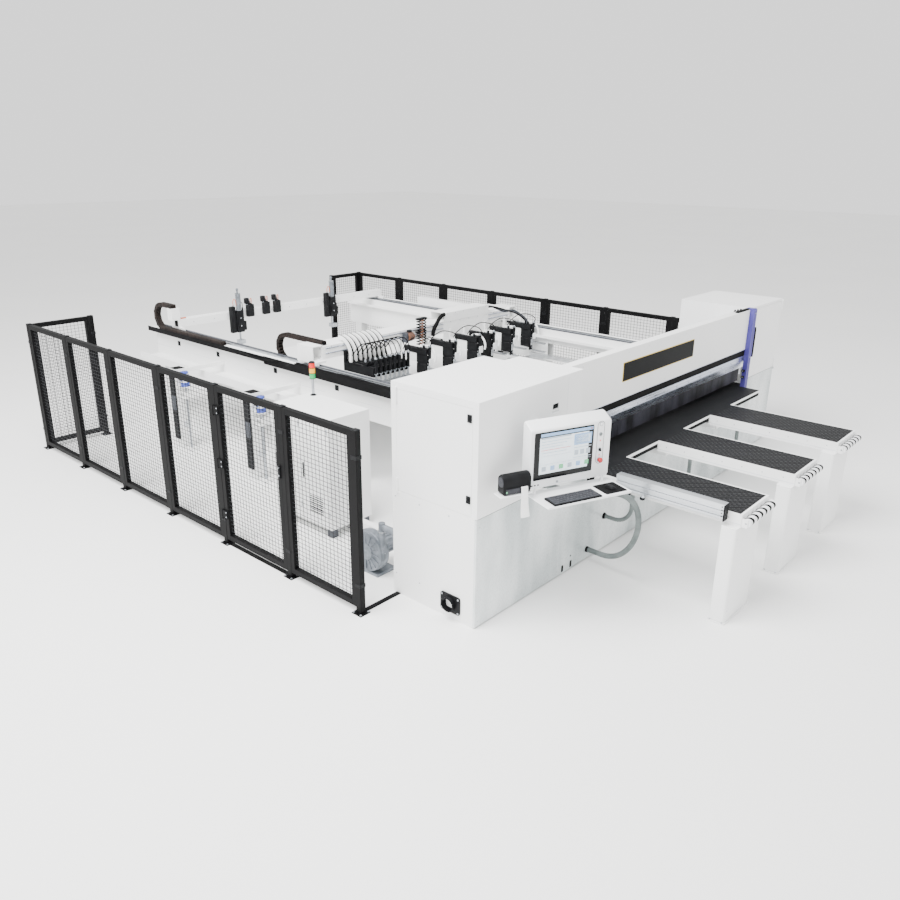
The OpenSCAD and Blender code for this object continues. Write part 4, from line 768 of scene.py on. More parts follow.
@dataclass
class Cabinets:
    """Fittings of the two cabinets."""
    right_x: float = 5600.0
    right_y: float = 170.0
    pull_low: tuple[float, float] = (1000.0, 1700.0)
    pull_size: tuple[float, float] = (90.0, 70.0)
    seam_x: float = 1223.0
    seam_z: tuple[tuple[float, float], ...] = ((14.0, 1008.0), (1016.0, 1969.0))
    slot_x: tuple[float, float] = (1290.0, 1432.0)
    slot_z: tuple[float, float] = (24.0, 96.0)
    slot_w: float = 34.0
    outlet: tuple[float, float] = (268.0, 150.0)
    outlet_half: tuple[float, float] = (110.0, 85.0)
    outlet_bore: float = 60.0
    outlet_reach: float = 55.0
    handle_z: tuple[float, float] = (1372.0, 1718.0)
    handle_r: float = 12.0

    def build(self) -> None:
        """Builds the cabinets' fittings."""
        self.trim()
        self.dust_outlet()
        self.handle()

    def trim(self) -> None:
        """Screws, painted shade in the pull's recess, the low slots as dark patches of painted shade, and the
        folded seams.
        """
        m = Maker("cabinet_trim")
        x, z = self.pull_low
        w, h = self.pull_size
        # A dark box in the pull's recess: painted shade.
        m.box((x + 3, 6, z + 24), (x + w - 3, 12, z + h - 2), OPENING_PAINTED_SHADE, 1)
        m.box((x - 6, -1.5, z - 6), (x + w + 6, 0.5, z), POWDER_GREY, 0.6)
        low, high = self.slot_z
        # The slots are dark patches of painted shade.
        for sx in self.slot_x:
            m.prism(plate((low, sx), (high, sx + self.slot_w), 10), 1, -1.2, 3, OPENING_PAINTED_SHADE, 0.5)
        m.lathe((self.slot_x[1] + 8, -3, 150), REARWARD, [(0, 5), (1, 9), (4, 10)], ABS_BLACK, 16)
        m.heads((40, 700, 1220, 1410), (-2,), (60, 940), REARWARD, FLUSH_HEAD, ZINC)
        m.heads((self.right_x + 50, self.right_x + 990), (self.right_y - 2,), (60, 1000), REARWARD,
                FLUSH_HEAD, ZINC)
        m.heads((-2,), (300, 640, 930), (200, 960), RIGHTWARD, FLUSH_HEAD, ZINC)
        for low, high in self.seam_z:
            m.box((self.seam_x - 1.5, -0.8, low), (self.seam_x + 1.5, 0.4, high), POWDER_GREY, 0.3)
        m.piece("machine", "cabinet_white")

    def dust_outlet(self) -> None:
        """The square flange with its four bolts and the spigot with a rolled rim."""
        m = Maker("dust_outlet")
        y, z = self.outlet
        dy, dz = self.outlet_half
        r, reach = self.outlet_bore, self.outlet_reach
        corners = plate((y - dy, z - dz), (y + dy, z + dz), 26, 5)
        count = len(corners)
        bore = [(y + (r + 2) * math.cos(a), z + (r + 2) * math.sin(a))
                for a in [math.atan2(q - z, p - y) for p, q in corners]]
        rings = ((-14, corners), (-0.3, corners), (-0.3, bore), (-14, bore))
        points = [(level, p, q) for level, ring in rings for p, q in ring]
        faces = [[i * count + k, i * count + (k + 1) % count,
                  (i + 1) % 4 * count + (k + 1) % count, (i + 1) % 4 * count + k]
                 for i in range(4) for k in range(count)]
        m.add(points, faces, ABS_BLACK)
        m.lathe((0, y, z), LEFTWARD,
                [(0.5, r), (reach, r), (reach, r + 4), (reach - 4, r + 7), (reach - 9, r + 6),
                 (14, r + 6), (10, r + 12), (0.5, r + 12)], ABS_BLACK, 40, ring=True)
        m.bolts((-14,), (y - 92, y + 92), (z - 67, z + 67), LEFTWARD, 14)
        m.piece("machine", "black_parts", ["dust_port"])

    def handle(self) -> None:
        """The right door's bar handle, rounded, on two feet."""
        m = Maker("bar_handle")
        x, y = self.right_x + 145, self.right_y - 22
        low, high = self.handle_z
        bar = [(x, y, low - 20), (x, y - 4, low + 8), (x, y - 5, low + 68), (x, y - 5, high - 68),
               (x, y - 4, high - 8), (x, y, high + 20)]
        m.tube(smooth_route(bar, 24), self.handle_r, ABS_BLACK, 14)
        for z in self.handle_z:
            m.rod((x, self.right_y, z), (x, y + 4, z), self.handle_r - 2, ABS_BLACK)
            m.lathe((x, self.right_y, z), FORWARD, [(0, 15), (2, 15), (3, 12)], ABS_BLACK, 18)
        m.piece("right_door", "black_parts", ["right_door_handle"])


@dataclass
class Portal:
    """What the portal beam and its cover carry."""
    left: float = 1451.0
    right: float = 5600.0
    cover_y: float = 130.0
    screw_z: tuple[float, float] = (1525.0, 1960.0)
    band_lip_z: tuple[float, float] = (1494.0, 1499.4)
    seal_z: tuple[float, float] = (1424.0, 1431.0)
    profile_y: float = 138.0
    strip_y: float = 183.0
    strip_pitch: float = 100.0
    strips: int = 40
    rail_z: tuple[float, float] = (1335.0, 1372.0)
    sign_x: tuple[float, float] = (2390.0, 3940.0)
    sign_z: tuple[float, float] = (1668.0, 1868.0)
    sign_rim: float = 7.0
    column_x: float = 5445.0
    column_y: float = 69.7
    beads: tuple[tuple[float, float], ...] = ((1412.0, 5.0), (1384.0, 4.0), (1352.0, 5.0))

    def build(self) -> None:
        """Builds the plate, the trims and the column's fittings."""
        self.bare_plate()
        self.trims()
        self.column()

    def bare_plate(self) -> None:
        """A plain enamelled plate on the cover, with a thin rim."""
        m = Maker("bare_plate")
        (x0, x1), (z0, z1) = self.sign_x, self.sign_z
        y, rim = self.cover_y, self.sign_rim
        m.prism(plate((z0, x0), (z1, x1), 6), 1, y - 3, y + 1, PLATE_RIM, 0.8)
        m.prism(plate((z0 + rim, x0 + rim), (z1 - rim, x1 - rim), 4), 1, y - 4.5, y, PLATE_BLACK, 0.6)
        m.piece("machine", "black_parts")

    def trims(self) -> None:
        """Cover screws, the band's sealing lips and the profile's bright beads."""
        m = Maker("cover_trims")
        left, right = self.left + 4, self.right - 160
        m.heads([self.left + 200 + 415 * i for i in range(10)], (self.cover_y,), self.screw_z, FORWARD,
                [(0, 6), (1.4, 5.5), (2, 3)], POWDER_GREY, 14)
        y = self.profile_y
        for (low, high), (front, rear), finish in ((self.band_lip_z, (y - 10, y - 1), ANODISED),
                                                   (self.seal_z, (y - 7, y + 1), RUBBER)):
            m.box((left, front, low), (right, rear, high), finish, 1)
        for z, r in self.beads:
            m.rod((left, y, z), (right, y, z), r, ANODISED, 12)
        m.heads([self.left + 160 + 290 * i for i in range(14)], (y,), (1368,), FORWARD, CAP_HEAD,
                TURNED_STEEL)
        m.piece("machine", "bright_metal")
        s = Maker("strip_rail")
        y = self.strip_y
        low, high = self.rail_z
        s.box((self.left + 25, y, low), (right, y + 3.2, high), TURNED_STEEL, 0.8)
        for i in range(self.strips):
            x = self.left + 30 + i * self.strip_pitch
            s.heads((x + 20, x + 78), (y,), (low + 18,), FORWARD, [(0, 6), (2, 6), (3, 4)], ZINC, 8)
        s.piece("machine", "dark_strip")

    def column(self) -> None:
        """Slot liners, end cap and bolts of the guide column."""
        m = Maker("column_fittings")
        x, y = self.column_x, self.column_y
        for slot in (x + 22, x + 50):
            m.box((slot, y + 4, 24), (slot + 6, y + 7.5, 1985), RUBBER, 0.5)
        m.bolts((x + 40,), (y,), (40, 700, 1400, 1960), FORWARD, 12)
        m.box((x - 4, y - 3, 0.5), (x + 84, y + 60, 9), CAST_DARK, 2)
        for z in (1130.0, 1210.0):
            m.box((x - 26, 90, z), (x - 0.5, 128, z + 30), ABS_BLACK, 3)
            m.lathe((x - 26, 108, z + 15), LEFTWARD, [(0, 8), (10, 8), (12, 5)], TURNED_STEEL, 14)
        m.piece("machine", "black_parts")


@dataclass
class AirTables:
    """The air tables' ball valves, rollers, legs, hoses and squaring fence."""
    count: int = 3
    left: float = 1561.0
    pitch: float = 1215.0
    width: float = 580.0
    front: float = -1540.0
    rear: float = -130.4
    top: float = 1015.0
    under: float = 905.0
    valve_pitch: float = 62.0
    table_gaps: tuple[tuple[float, float], ...] = (
        (1452.0, 1559.0), (2143.0, 2774.0), (3358.0, 3989.0), (4573.0, 5430.0))
    roller_y: float = -1578.0
    roller_z: float = 947.0
    roller_r: float = 36.0
    roller_gap: float = 16.3
    roller_rings: int = 6
    ring_slant: float = 0.22
    ring_share: tuple[float, float] = (0.3, 0.72)
    axle_r: float = 8.0
    leg_size: tuple[float, float] = (510.0, 140.0)
    leg_inset: float = 64.0
    duct_x: float = 455.0
    duct_y: float = -300.0
    duct_radius: float = 22.0
    duct_rib: float = 2.5
    duct_bend: float = 180.0
    duct_top: float = 905.0
    duct_turn_z: float = 560.0
    duct_length: float = 0.7477
    fence_x: tuple[float, float] = (1485.7, 1560.7)
    fence_low: tuple[float, float] = (-1410.0, 965.0)
    fence_ticks: int = 40

    def build(self) -> None:
        """Builds everything on and under the air tables."""
        self.valves()
        self.trims()
        for i in range(self.count):
            self.roller(i)
            self.duct(i)
        self.legs()
        self.fence()

    def x0(self, i: int) -> float:
        """The left side of table number i."""
        return self.left + i * self.pitch

    def valves(self) -> None:
        """Ball valves in staggered rows, which read as diagonals."""
        m = Maker("ball_valves")
        columns = int((self.width - 80) / self.valve_pitch)
        rows = int((self.rear - self.front - 60) / (self.valve_pitch / 2))
        valve = [(0, 12), (1.2, 11), (1.2, 5), (2.4, 3.6), (3.0, 1.2)]
        for i in range(self.count):
            for row in range(rows):
                y = self.front + 50 + row * self.valve_pitch / 2
                for column in range(columns + (row % 2)):
                    x = self.x0(i) + 55 + (column + 0.5 * (1 - row % 2)) * self.valve_pitch
                    m.lathe((x, y, self.top - 0.5), UP, valve, ACETAL, 8)
        m.piece("machine", "black_top")

    def trims(self) -> None:
        """Rims, end screws and a black strip of painted shade under the saw table's front edge."""
        m = Maker("table_trims")
        under = self.under
        for i in range(self.count):
            x0, x1 = self.x0(i), self.x0(i) + self.width
            for x in (x0 - 1.5, x1 - 2.5):
                m.box((x, self.front + 4, under + 20), (x + 4, self.rear - 4, under + 26), POWDER_GREY, 1)
            for x, way in ((x0, LEFTWARD), (x1, RIGHTWARD)):
                m.heads((x,), [self.front + 110 + 200 * k for k in range(7)], (under + 62,), way,
                        [(0, 6), (1.6, 5), (2, 3)], ZINC, 10)
            m.bolts((x0 + 60, x1 - 60), (self.front,), (under + 60,), FORWARD, 12)
            m.box((x0 + 90, -190, under - 58), (x1 - 90, -20, under - 1), POWDER_GREY, 3)
        # Between the tables: a black strip of painted shade under the saw table's front edge, and a white
        # strip on that edge.
        for left, right in self.table_gaps:
            m.box((left, -129, 944), (right, -112, 984.6), RUBBER, 2)
            m.box((left, -133, 986), (right, -129.5, self.top - 0.4), POWDER_WHITE, 1)
        m.piece("machine", "light_metal")

    def roller(self, i: int) -> None:
        """Builds one nose roller with slanting black rings, on its stub axles.

        Args:
            i: The table's number.
        """
        name = f"nose_roller_{i + 1}"
        m = Maker(f"striped_roller_{i + 1}")
        x0, length = self.x0(i) + self.roller_gap, self.width - 2 * self.roller_gap
        y0, z0 = self.roller_y, self.roller_z
        around, along = 48, 120
        points = []
        for k in range(along + 1):
            r = self.roller_r - (2.5 if k in (0, along) else 0.0)
            for a in range(around):
                angle = math.tau * a / around
                points.append((x0 + length * k / along, y0 + r * math.cos(angle), z0 + r * math.sin(angle)))
        sorts: dict[bool, list[list[int]]] = {True: [], False: []}
        low, high = self.ring_share
        for k in range(along):
            for a in range(around):
                wave = self.ring_slant * math.cos(math.tau * (a + 0.5) / around)
                phase = ((k + 0.5) / along * self.roller_rings + wave) % 1.0
                b = (a + 1) % around
                sorts[low < phase < high].append([k * around + a, k * around + b,
                                                  (k + 1) * around + b, (k + 1) * around + a])
        ends = [list(range(around)), list(range(len(points) - around, len(points)))]
        m.add(points, sorts[False] + ends, ABS_WHITE)
        m.faces += [tuple(f) for f in sorts[True]]
        m.looks += [len(m.finishes)] * len(sorts[True])
        m.finishes.append(RUBBER)
        m.rod((self.x0(i) + 8, y0, z0), (self.x0(i) + self.width - 8, y0, z0), self.axle_r, TURNED_STEEL)
        m.piece(name, "light_metal", [name])

    def legs(self) -> None:
        """Sheet legs with rounded corners, on their floor plates."""
        m = Maker("leg_shells")
        wide, deep = self.leg_size
        for i in range(self.count):
            x, y = self.x0(i) - self.leg_inset, self.front + 4
            for z0, z1, grow, edge in ((0, 14, 10, 3), (14.4, 890.6, 0, 4), (891, 904.6, 0, 3)):
                m.prism(plate((x - grow, y - grow), (x + wide + grow, y + deep + grow), 26, 5),
                        2, z0, z1, POWDER_WHITE, edge)
            m.bolts((x - 2, x + wide + 2), (y + 16, y + 124), (14,), UP, 12)
            m.heads((x + 40,), (y,), (120, 800), FORWARD, [(0, 8), (1.5, 7), (2, 4)], POWDER_GREY, 14)
        m.piece("machine", "cabinet_white", ["table_legs"])

    def duct(self, i: int) -> None:
        """Builds one ribbed air hose from its table down and round into the base.

        Args:
            i: The table's number.
        """
        x, y, r = self.x0(i) + self.duct_x, self.duct_y, self.duct_bend
        drop = self.duct_top - self.duct_turn_z
        arc = r * math.pi / 2
        steps = 60
        route = []
        for k in range(steps + 1):
            d = k / steps * (drop + arc - y - r)
            if d < drop:
                route.append((x, y, self.duct_top - d))
            elif d < drop + arc:
                a = (d - drop) / r
                route.append((x, y + r - r * math.cos(a), self.duct_turn_z - r * math.sin(a)))
            else:
                route.append((x, y + r + d - drop - arc, self.duct_turn_z - r))
        radii = [self.duct_radius if k % 2 else self.duct_radius - self.duct_rib for k in range(steps + 1)]
        m = Maker(f"air_hose_{i + 1}")
        m.tube(route, radii, PVC_GREY, 18)
        made = m.piece("machine", "hose_grey", ["air_hoses"])
        clamps = Maker(f"hose_clips_{i + 1}")
        bore = self.duct_radius + 0.5
        clamps.lathe(route[0], DOWN, [(0, 26), (18, 26), (18, bore), (0, bore)], TURNED_STEEL, 24, ring=True)
        clamps.lathe(route[-1], FORWARD, [(0, 34), (6, 34), (8, 27), (22, 27), (22, bore), (0, bore)],
                     ABS_BLACK, 24, ring=True)
        clamps.piece("machine", "steel")

    def fence(self) -> None:
        """End cap holes drawn as dark discs of painted shade, knobs and a plain tick scale on the squaring
        fence.
        """
        m = Maker("fence_fittings")
        (x0, x1), (y0, z0) = self.fence_x, self.fence_low
        m.prism(plate((z0 - 22, x0 - 3), (z0 + 128, x1), 8), 1, y0 - 12, y0 - 0.4, ABS_BLACK, 3)
        m.heads((x0,), (y0 + 14,), [z0 + 22 + 28 * k for k in range(4)], LEFTWARD,
                [(0, 6), (1, 6), (1.4, 4)], OPENING_PAINTED_SHADE)
        for y in (y0 + 760, y0 + 905):
            m.rod((x1 - 30, y, z0 - 62), (x1 - 30, y, z0 - 38), 24, ABS_BLACK, 12, 4)
            m.rod((x1 - 30, y, z0 - 66), (x1 - 2, y, z0 - 66), 7, ABS_BLACK, 12)
        top = z0 + 130
        for k in range(self.fence_ticks):
            y = y0 + 15 + k * 25
            long = 7 if k % 4 else 12
            m.box((x0 + 60, y, top), (x0 + 60 + long, y + 1.6, top + 0.4), ABS_BLACK, 0.1)
        m.piece("machine", "bright_metal")


@dataclass
class Console:
    """The swivelling console with its screen, buttons, tray, keyboard and printer.

    All its sizes but the pin's place are in its own frame, which lies at the pin and turns with it.
    """
    pin: tuple[float, float] = (713.0, -195.0)
    turn_deg: float = -21.5
    left: float = -305.0
    right: float = 475.0
    face: float = -170.0
    rear: float = -45.0
    low: float = 1235.0
    high: float = 1735.0
    cover_x: tuple[tuple[float, float], ...] = ((-270.0, -60.0), (80.0, 440.0))
    vents: int = 9
    screen: tuple[float, float, float, float] = (-275.0, 300.0, 1308.0, 1713.0)
    glass_inset: tuple[float, float] = (50.0, 48.0)
    column: float = 372.0
    start_z: float = 1706.0
    lamp_z: float = 1618.0
    selector_z: float = 1483.0
    stop_z: float = 1393.0
    lamps_z: tuple[float, float] = (1562.0, 1436.0)
    line_r: float = 34.0
    pin_z: tuple[float, float] = (1395.0, 1685.0)
    tray_z: float = 1170.0
    tray_t: float = 14.0
    tray_low: tuple[float, float] = (-300.0, -450.0)
    tray_high: tuple[float, float] = (525.0, -100.0)
    hanger_x: tuple[float, float] = (-260.0, 415.0)
    keys_low: tuple[float, float] = (-235.0, -445.0)
    keys_size: tuple[float, float] = (460.0, 165.0)
    key_size: tuple[float, float] = (26.0, 30.0)
    printer_x: tuple[float, float] = (-572.0, -318.0)
    label_x: float = -386.0
    label_z: float = 1305.0

    def place(self) -> Matrix:
        """The console's local frame in machine places."""
        return turned((*self.pin, 0.0), math.radians(self.turn_deg), "Z")

    def build(self) -> None:
        """Builds every part of the console."""
        self.shell()
        self.display()
        self.buttons()
        self.tray()
        self.keys()
        self.printer()
        self.arm()

    def shell(self) -> None:
        """The painted housing with rounded shoulders, its pin and its rear cover."""
        m = Maker("console_shell", self.place())
        outline = rounded([(self.face, self.low), (self.rear, self.low), (self.rear, self.high + 55),
                           (self.rear - 25, self.high + 55), (self.face, self.high)], 16, 4)
        m.prism(outline, 0, self.left, self.right, ABS_WHITE, 14)
        m.rod((0, 0, self.pin_z[0]), (0, 0, self.pin_z[1]), 22, TURNED_STEEL, 32)
        m.lathe((0, 0, 1470), UP, [(0, 30), (4, 34), (126, 34), (130, 30)], ABS_WHITE, 32)
        m.box((-30, -46, 1470), (30, -20, 1600), ABS_WHITE, 4)
        screw = [(0, 5), (1.6, 5), (2.4, 3)]
        for x0, x1 in self.cover_x:
            m.box((x0, -46, 1260), (x1, -43, 1700), POWDER_GREY, 1)
            m.heads((x0 + 10, x1 - 10), (-43,), (1270, 1690), REARWARD, screw, ZINC, 10)
        # The vents are dark strips of painted shade.
        for k in range(self.vents):
            m.box((130, -43.5, 1330 + 22 * k), (390, -42, 1338 + 22 * k), OPENING_PAINTED_SHADE, 0.4)
        for x in (-292, -262, -232):
            m.box((x, self.face - 1.5, 1262), (x + 16, self.face + 1, 1272), ABS_BLACK, 0.6)
        m.lathe((-40, self.face, 1268), FORWARD, [(0, 11), (4, 11), (6, 8)], TURNED_STEEL, 20)
        m.box((-120, self.face - 1, 1252), (230, self.face + 1, 1256), POWDER_GREY, 0.4)
        m.piece("console", "light_metal", ["console_housing"])

    def display(self) -> None:
        """The black screen frame, the lit glass and generic windows on it."""
        x0, x1, z0, z1 = self.screen
        y = self.face
        m = Maker("screen_frame", self.place())
        m.prism(plate((z0, x0), (z1, x1), 12), 1, y - 4, y + 6, GLASS_BLACK, 2)
        m.piece("console", "screen_dark", ["console_screen"])
        d = Maker("lit_screen", self.place())
        dx, dz = self.glass_inset
        gx0, gx1, gz0, gz1 = x0 + dx, x1 - dx, z0 + dz, z1 - dz
        d.box((gx0, y - 4.6, gz0), (gx1, y - 3.6, gz1), DISPLAY, 0.4)
        marks = [((6, 318), (515, 344), DISPLAY_BLUE), ((488, 322), (508, 340), DISPLAY_RED),
                 ((10, 296), (300, 310), DISPLAY_GREY), ((12, 150), (300, 153), DISPLAY_GREY),
                 ((330, 205), (505, 300), DISPLAY_BLUE), ((345, 218), (490, 288), DISPLAY),
                 ((330, 95), (505, 100), DISPLAY_GREY), ((330, 180), (505, 186), DISPLAY_GREY),
                 ((10, 78), (505, 81), DISPLAY_GREY)]
        marks += [((14, 272 - 24 * k), (300 - 40 * (k % 3), 277 - 24 * k),
                   DISPLAY_RED if k == 3 else DISPLAY_GREY) for k in range(5)]
        marks += [((352, 262 - 22 * k), (470 - 30 * (k % 2), 268 - 22 * k), DISPLAY_GREY) for k in range(3)]
        marks += [((338 + 58 * k, 118), (378 + 58 * k, 162), DISPLAY_GREY) for k in range(3)]
        marks += [((24 + 84 * k, 22), (66 + 84 * k, 62), (DISPLAY_GREY, DISPLAY_BLUE, DISPLAY_GREEN)[k % 3])
                  for k in range(6)]
        for (ax, az), (bx, bz), finish in marks:
            d.box((gx0 + ax, y - 5.2, gz0 + az), (gx0 + bx, y - 4.4, gz0 + bz), finish, 0.3)
        d.piece("console", "screen_dark")

    def buttons(self) -> None:
        """The racetrack line round the buttons, their collars and the buttons themselves."""
        x, y = self.column, self.face
        m = Maker("button_collars", self.place())
        r = self.line_r
        turns = [math.pi * k / 14 for k in range(15)]
        loop = [(x + r * math.cos(a), y - 0.6, self.start_z - 10 + r * math.sin(a)) for a in turns]
        loop += [(x - r * math.cos(a), y - 0.6, self.stop_z - r * math.sin(a)) for a in turns]
        m.tube(loop, 1.6, KEY_GREY, 6, closed=True)
        for z, ring in ((self.start_z, 17), (self.lamp_z, 17), (self.selector_z, 17), (self.stop_z, 21)):
            m.lathe((x, y, z), FORWARD, [(0, ring), (3, ring), (4.5, ring - 2), (4.5, ring - 3.5),
                                         (0, ring - 3.5)], TURNED_STEEL, 28, ring=True)
        m.lathe((x, y, self.lamp_z), FORWARD, [(0, 12.5), (5, 12.5), (7.5, 9), (8.5, 3)], PVC_GREY, 24)
        m.heads((x,), (y,), self.lamps_z, FORWARD, [(0, 7), (2, 7), (3, 5)], DISPLAY_RED, 18)
        m.piece("console", "light_metal")
        stop = Maker("mushroom_stop", self.place())
        stop.lathe((x, y - 34, self.stop_z), REARWARD,
                   [(0, 6), (0.8, 13), (3.4, 18.5), (7.5, 21.6), (12, 22), (15, 20), (16, 15), (52, 15)],
                   STOP_RED, 36)
        stop.piece("emergency_stop", "signal_red", ["emergency_stop"])
        start = Maker("start_cap", self.place())
        start.lathe((x, y - 8, self.start_z), REARWARD, [(0, 8), (0.8, 11), (2.6, 12.6), (24, 12.8)],
                    ABS_WHITE, 30)
        start.piece("start_button", "button_white", ["start_button"])
        knob = Maker("selector_grip", self.place())
        z = self.selector_z
        knob.lathe((x, y - 10, z), REARWARD, [(0, 10), (1.5, 12.4), (26, 12.8)], ABS_BLACK, 30)
        knob.box((x - 4, y - 22, z - 12), (x + 4, y - 8, z + 12), ABS_BLACK, 2)
        knob.box((x - 1, y - 22.6, z + 2), (x + 1, y - 21.5, z + 11), ABS_WHITE, 0.3)
        knob.piece("selector_knob", "black_parts", ["selector_knob"])

    def tray(self) -> None:
        """The keyboard tray with rounded corners and its two hangers."""
        m = Maker("tray_shell", self.place())
        z = self.tray_z
        (x0, front), (x1, _) = self.tray_low, self.tray_high
        m.prism(plate(self.tray_low, self.tray_high, 16), 2, z, z + self.tray_t, ABS_WHITE, 3)
        m.box((x0 + 4, front, z + 12), (x1 - 4, front + 3.6, z + 19), ABS_WHITE, 1.4)
        for x in self.hanger_x:
            m.box((x, -170, z + self.tray_t), (x + 20, -145, self.low + 1), ABS_WHITE, 3)
            m.lathe((x, -158, 1205), LEFTWARD, [(0, 5), (2, 5), (3, 3)], ZINC, 10)
        m.box((-230, -400, z - 9), (455, -150, z + 0.5), POWDER_GREY, 3)
        m.piece("console", "light_metal", ["keyboard_tray"])

    def keys(self) -> None:
        """The keyboard with its rows of caps, the touch pad and the mouse."""
        m = Maker("key_rows", self.place())
        (x0, y0), (wide, long) = self.keys_low, self.keys_size
        z = self.tray_z + self.tray_t
        m.prism(plate((x0, y0), (x0 + wide, y0 + long), 10), 2, z, z + 15, ABS_BLACK, 3)
        deep, pitch = self.key_size
        rows = [[1.5] + [1] * 3 + [6] + [1] * 3 + [1.5], [2.2] + [1] * 10 + [1.8],
                [1.8] + [1] * 11 + [1.2], [1.4] + [1] * 12 + [0.6], [1] * 14]
        for j, widths in enumerate(rows):
            unit = (wide - 14) / sum(widths)
            x, y = x0 + 7, y0 + 8 + j * pitch
            for w in widths:
                m.box((x + 1.4, y, z + 15), (x + w * unit - 1.4, y + deep, z + 21), KEY_GREY, 2.2)
                x += w * unit
        m.prism(plate((285, -420), (500, -220), 14), 2, z, z + 4, RUBBER, 1)
        m.prism(plate((365, -375), (425, -275), 26, 6), 2, z + 4, z + 18, ABS_BLACK, 5)
        m.prism(plate((369, -368), (421, -282), 24, 6), 2, z + 12, z + 26, ABS_BLACK, 8)
        m.box((394.2, -315, z + 25.4), (395.8, -276, z + 26.6), KEY_GREY, 0.3)
        m.rod((391, -302, z + 26), (399, -302, z + 26), 5, KEY_GREY, 14)
        m.piece("console", "black_parts", ["keyboard"])

    def printer(self) -> None:
        """The label printer on its shelf, with a rounded lid and a hanging strip of labels."""
        m = Maker("printer_case", self.place())
        m.prism(plate((-605, -230), (-304, -110), 10), 2, 1235, 1245, ABS_WHITE, 2)
        outline = rounded([(-216, 1246), (-114, 1246), (-114, 1384), (-140, 1410), (-168, 1415),
                           (-200, 1400), (-216, 1372)], 18, 4)
        left, right = self.printer_x
        m.prism(outline, 0, left, right, ABS_BLACK, 12)
        m.prism(plate((-218.5, 1252), (-200, 1300), 6), 0, left + 20, right - 20, KEY_GREY, 3)
        # The paper slot is a dark strip of painted shade.
        m.box((left + 24, -220, 1303), (right - 24, -212, 1308), OPENING_PAINTED_SHADE, 0.8)
        for x, way in ((left, LEFTWARD), (right, RIGHTWARD)):
            m.lathe((x, -166, 1350), way, [(-2, 42), (2, 42), (4, 36), (4, 12), (7, 10)], KEY_GREY, 32)
        m.lathe((left + 27, -217, 1275), FORWARD, [(0, 7), (2, 7), (3, 5)], DISPLAY_GREEN, 14)
        self.label(m)
        m.piece("console", "black_parts", ["label_printer"])

    def label(self, m: Maker) -> None:
        """Adds the strip of labels, which curls out of the slot and hangs down.

        Args:
            m: The printer's maker.
        """
        route = [(-216, 0), (-226, -8), (-231, -46), (-233, -98), (-236, -152), (-243, -206), (-254, -258)]
        half_widths = (30.0, 30.5, 31.5, 33.5, 36.0, 39.0, 42.0)
        columns, rows, drop = 5, len(route), -route[-1][1]
        points = []
        for (y, dz), half in zip(route, half_widths):
            for k in range(columns):
                side = k / 2 - 1
                points.append((self.label_x + side * half, y + 5 * (1 - side * side) * dz / drop,
                               self.label_z + dz))
        faces = [[i * columns + k, i * columns + k + 1, (i + 1) * columns + k + 1, (i + 1) * columns + k]
                 for i in range(rows - 1) for k in range(columns - 1)]
        back = [(x, y + 0.8, z) for x, y, z in points]
        n = len(points)
        rim = [i * columns for i in range(rows)]
        rim += [(rows - 1) * columns + k for k in range(1, columns)]
        rim += [i * columns + columns - 1 for i in range(rows - 2, -1, -1)]
        rim += list(range(columns - 2, 0, -1))
        sides = [[a, b, n + b, n + a] for a, b in zip(rim, rim[1:] + rim[:1])]
        m.add(points + back, faces + [[n + i for i in f] for f in faces] + sides, PAPER)

    def arm(self) -> None:
        """Bolts and bearing collars of the fixed arm, and the cable box's lid."""
        m = Maker("arm_fittings")
        x, y = self.pin
        m.bolts((x - 45, x + 45), (-25,), (1395, 1685), FORWARD, 14)
        for z in (1450, 1660):
            m.lathe((x, y, z), UP, [(0, 34), (3, 34), (5, 30), (5, 24), (0, 24)], TURNED_STEEL, 32, ring=True)
        m.box((x + 46, -73, 1086), (x + 124, -69.5, 1144), POWDER_GREY, 1.5)
        m.heads((x + 52, x + 118), (-73,), (1092, 1138), FORWARD, [(0, 3.5), (1.4, 3.2), (1.8, 2)], ZINC, 10)
        m.piece("machine", "light_metal")


@dataclass
class ConsoleHose:
    """The grey ribbed hose between the console's arm and the base, a free hose."""
    radius: float = 27.0
    ribs: int = 150
    length: float = 2.21
    route: tuple[Point, ...] = (
        (800, -70, 1115), (800, -162, 1115), (811, -258, 1112), (852, -345, 1110),
        (912, -420, 1107), (986, -482, 1100), (1067, -533, 1087), (1151, -575, 1065),
        (1235, -609, 1030), (1312, -635, 978), (1379, -651, 911), (1436, -657, 833),
        (1483, -653, 749), (1523, -640, 661), (1556, -619, 573), (1585, -589, 486),
        (1609, -550, 401), (1630, -500, 321), (1649, -438, 249), (1665, -365, 191),
        (1681, -279, 150), (1694, -186, 132), (1700, -90, 130), (1700, 0, 130))

    def build(self) -> None:
        """Builds the hose and its two collars."""
        steps = 4 * self.ribs
        line = smooth_route(self.route, steps)
        swell = (self.radius - 3.5, self.radius - 0.8, self.radius, self.radius - 0.8)
        m = Maker("ribbed_hose")
        m.tube(line, [swell[k % 4] for k in range(steps + 1)], PVC_GREY, 20)
        hose = m.piece("machine", "hose_grey", ["console_hose"])
        ends = Maker("hose_collars")
        bore = self.radius + 0.4
        for spot in (line[0], line[-1]):
            ends.lathe(spot, FORWARD, [(0, 35), (10, 35), (13, 31), (40, 29.5), (40, bore), (0, bore)],
                       ABS_BLACK, 32, ring=True)
        collars = ends.piece("machine", "black_parts")


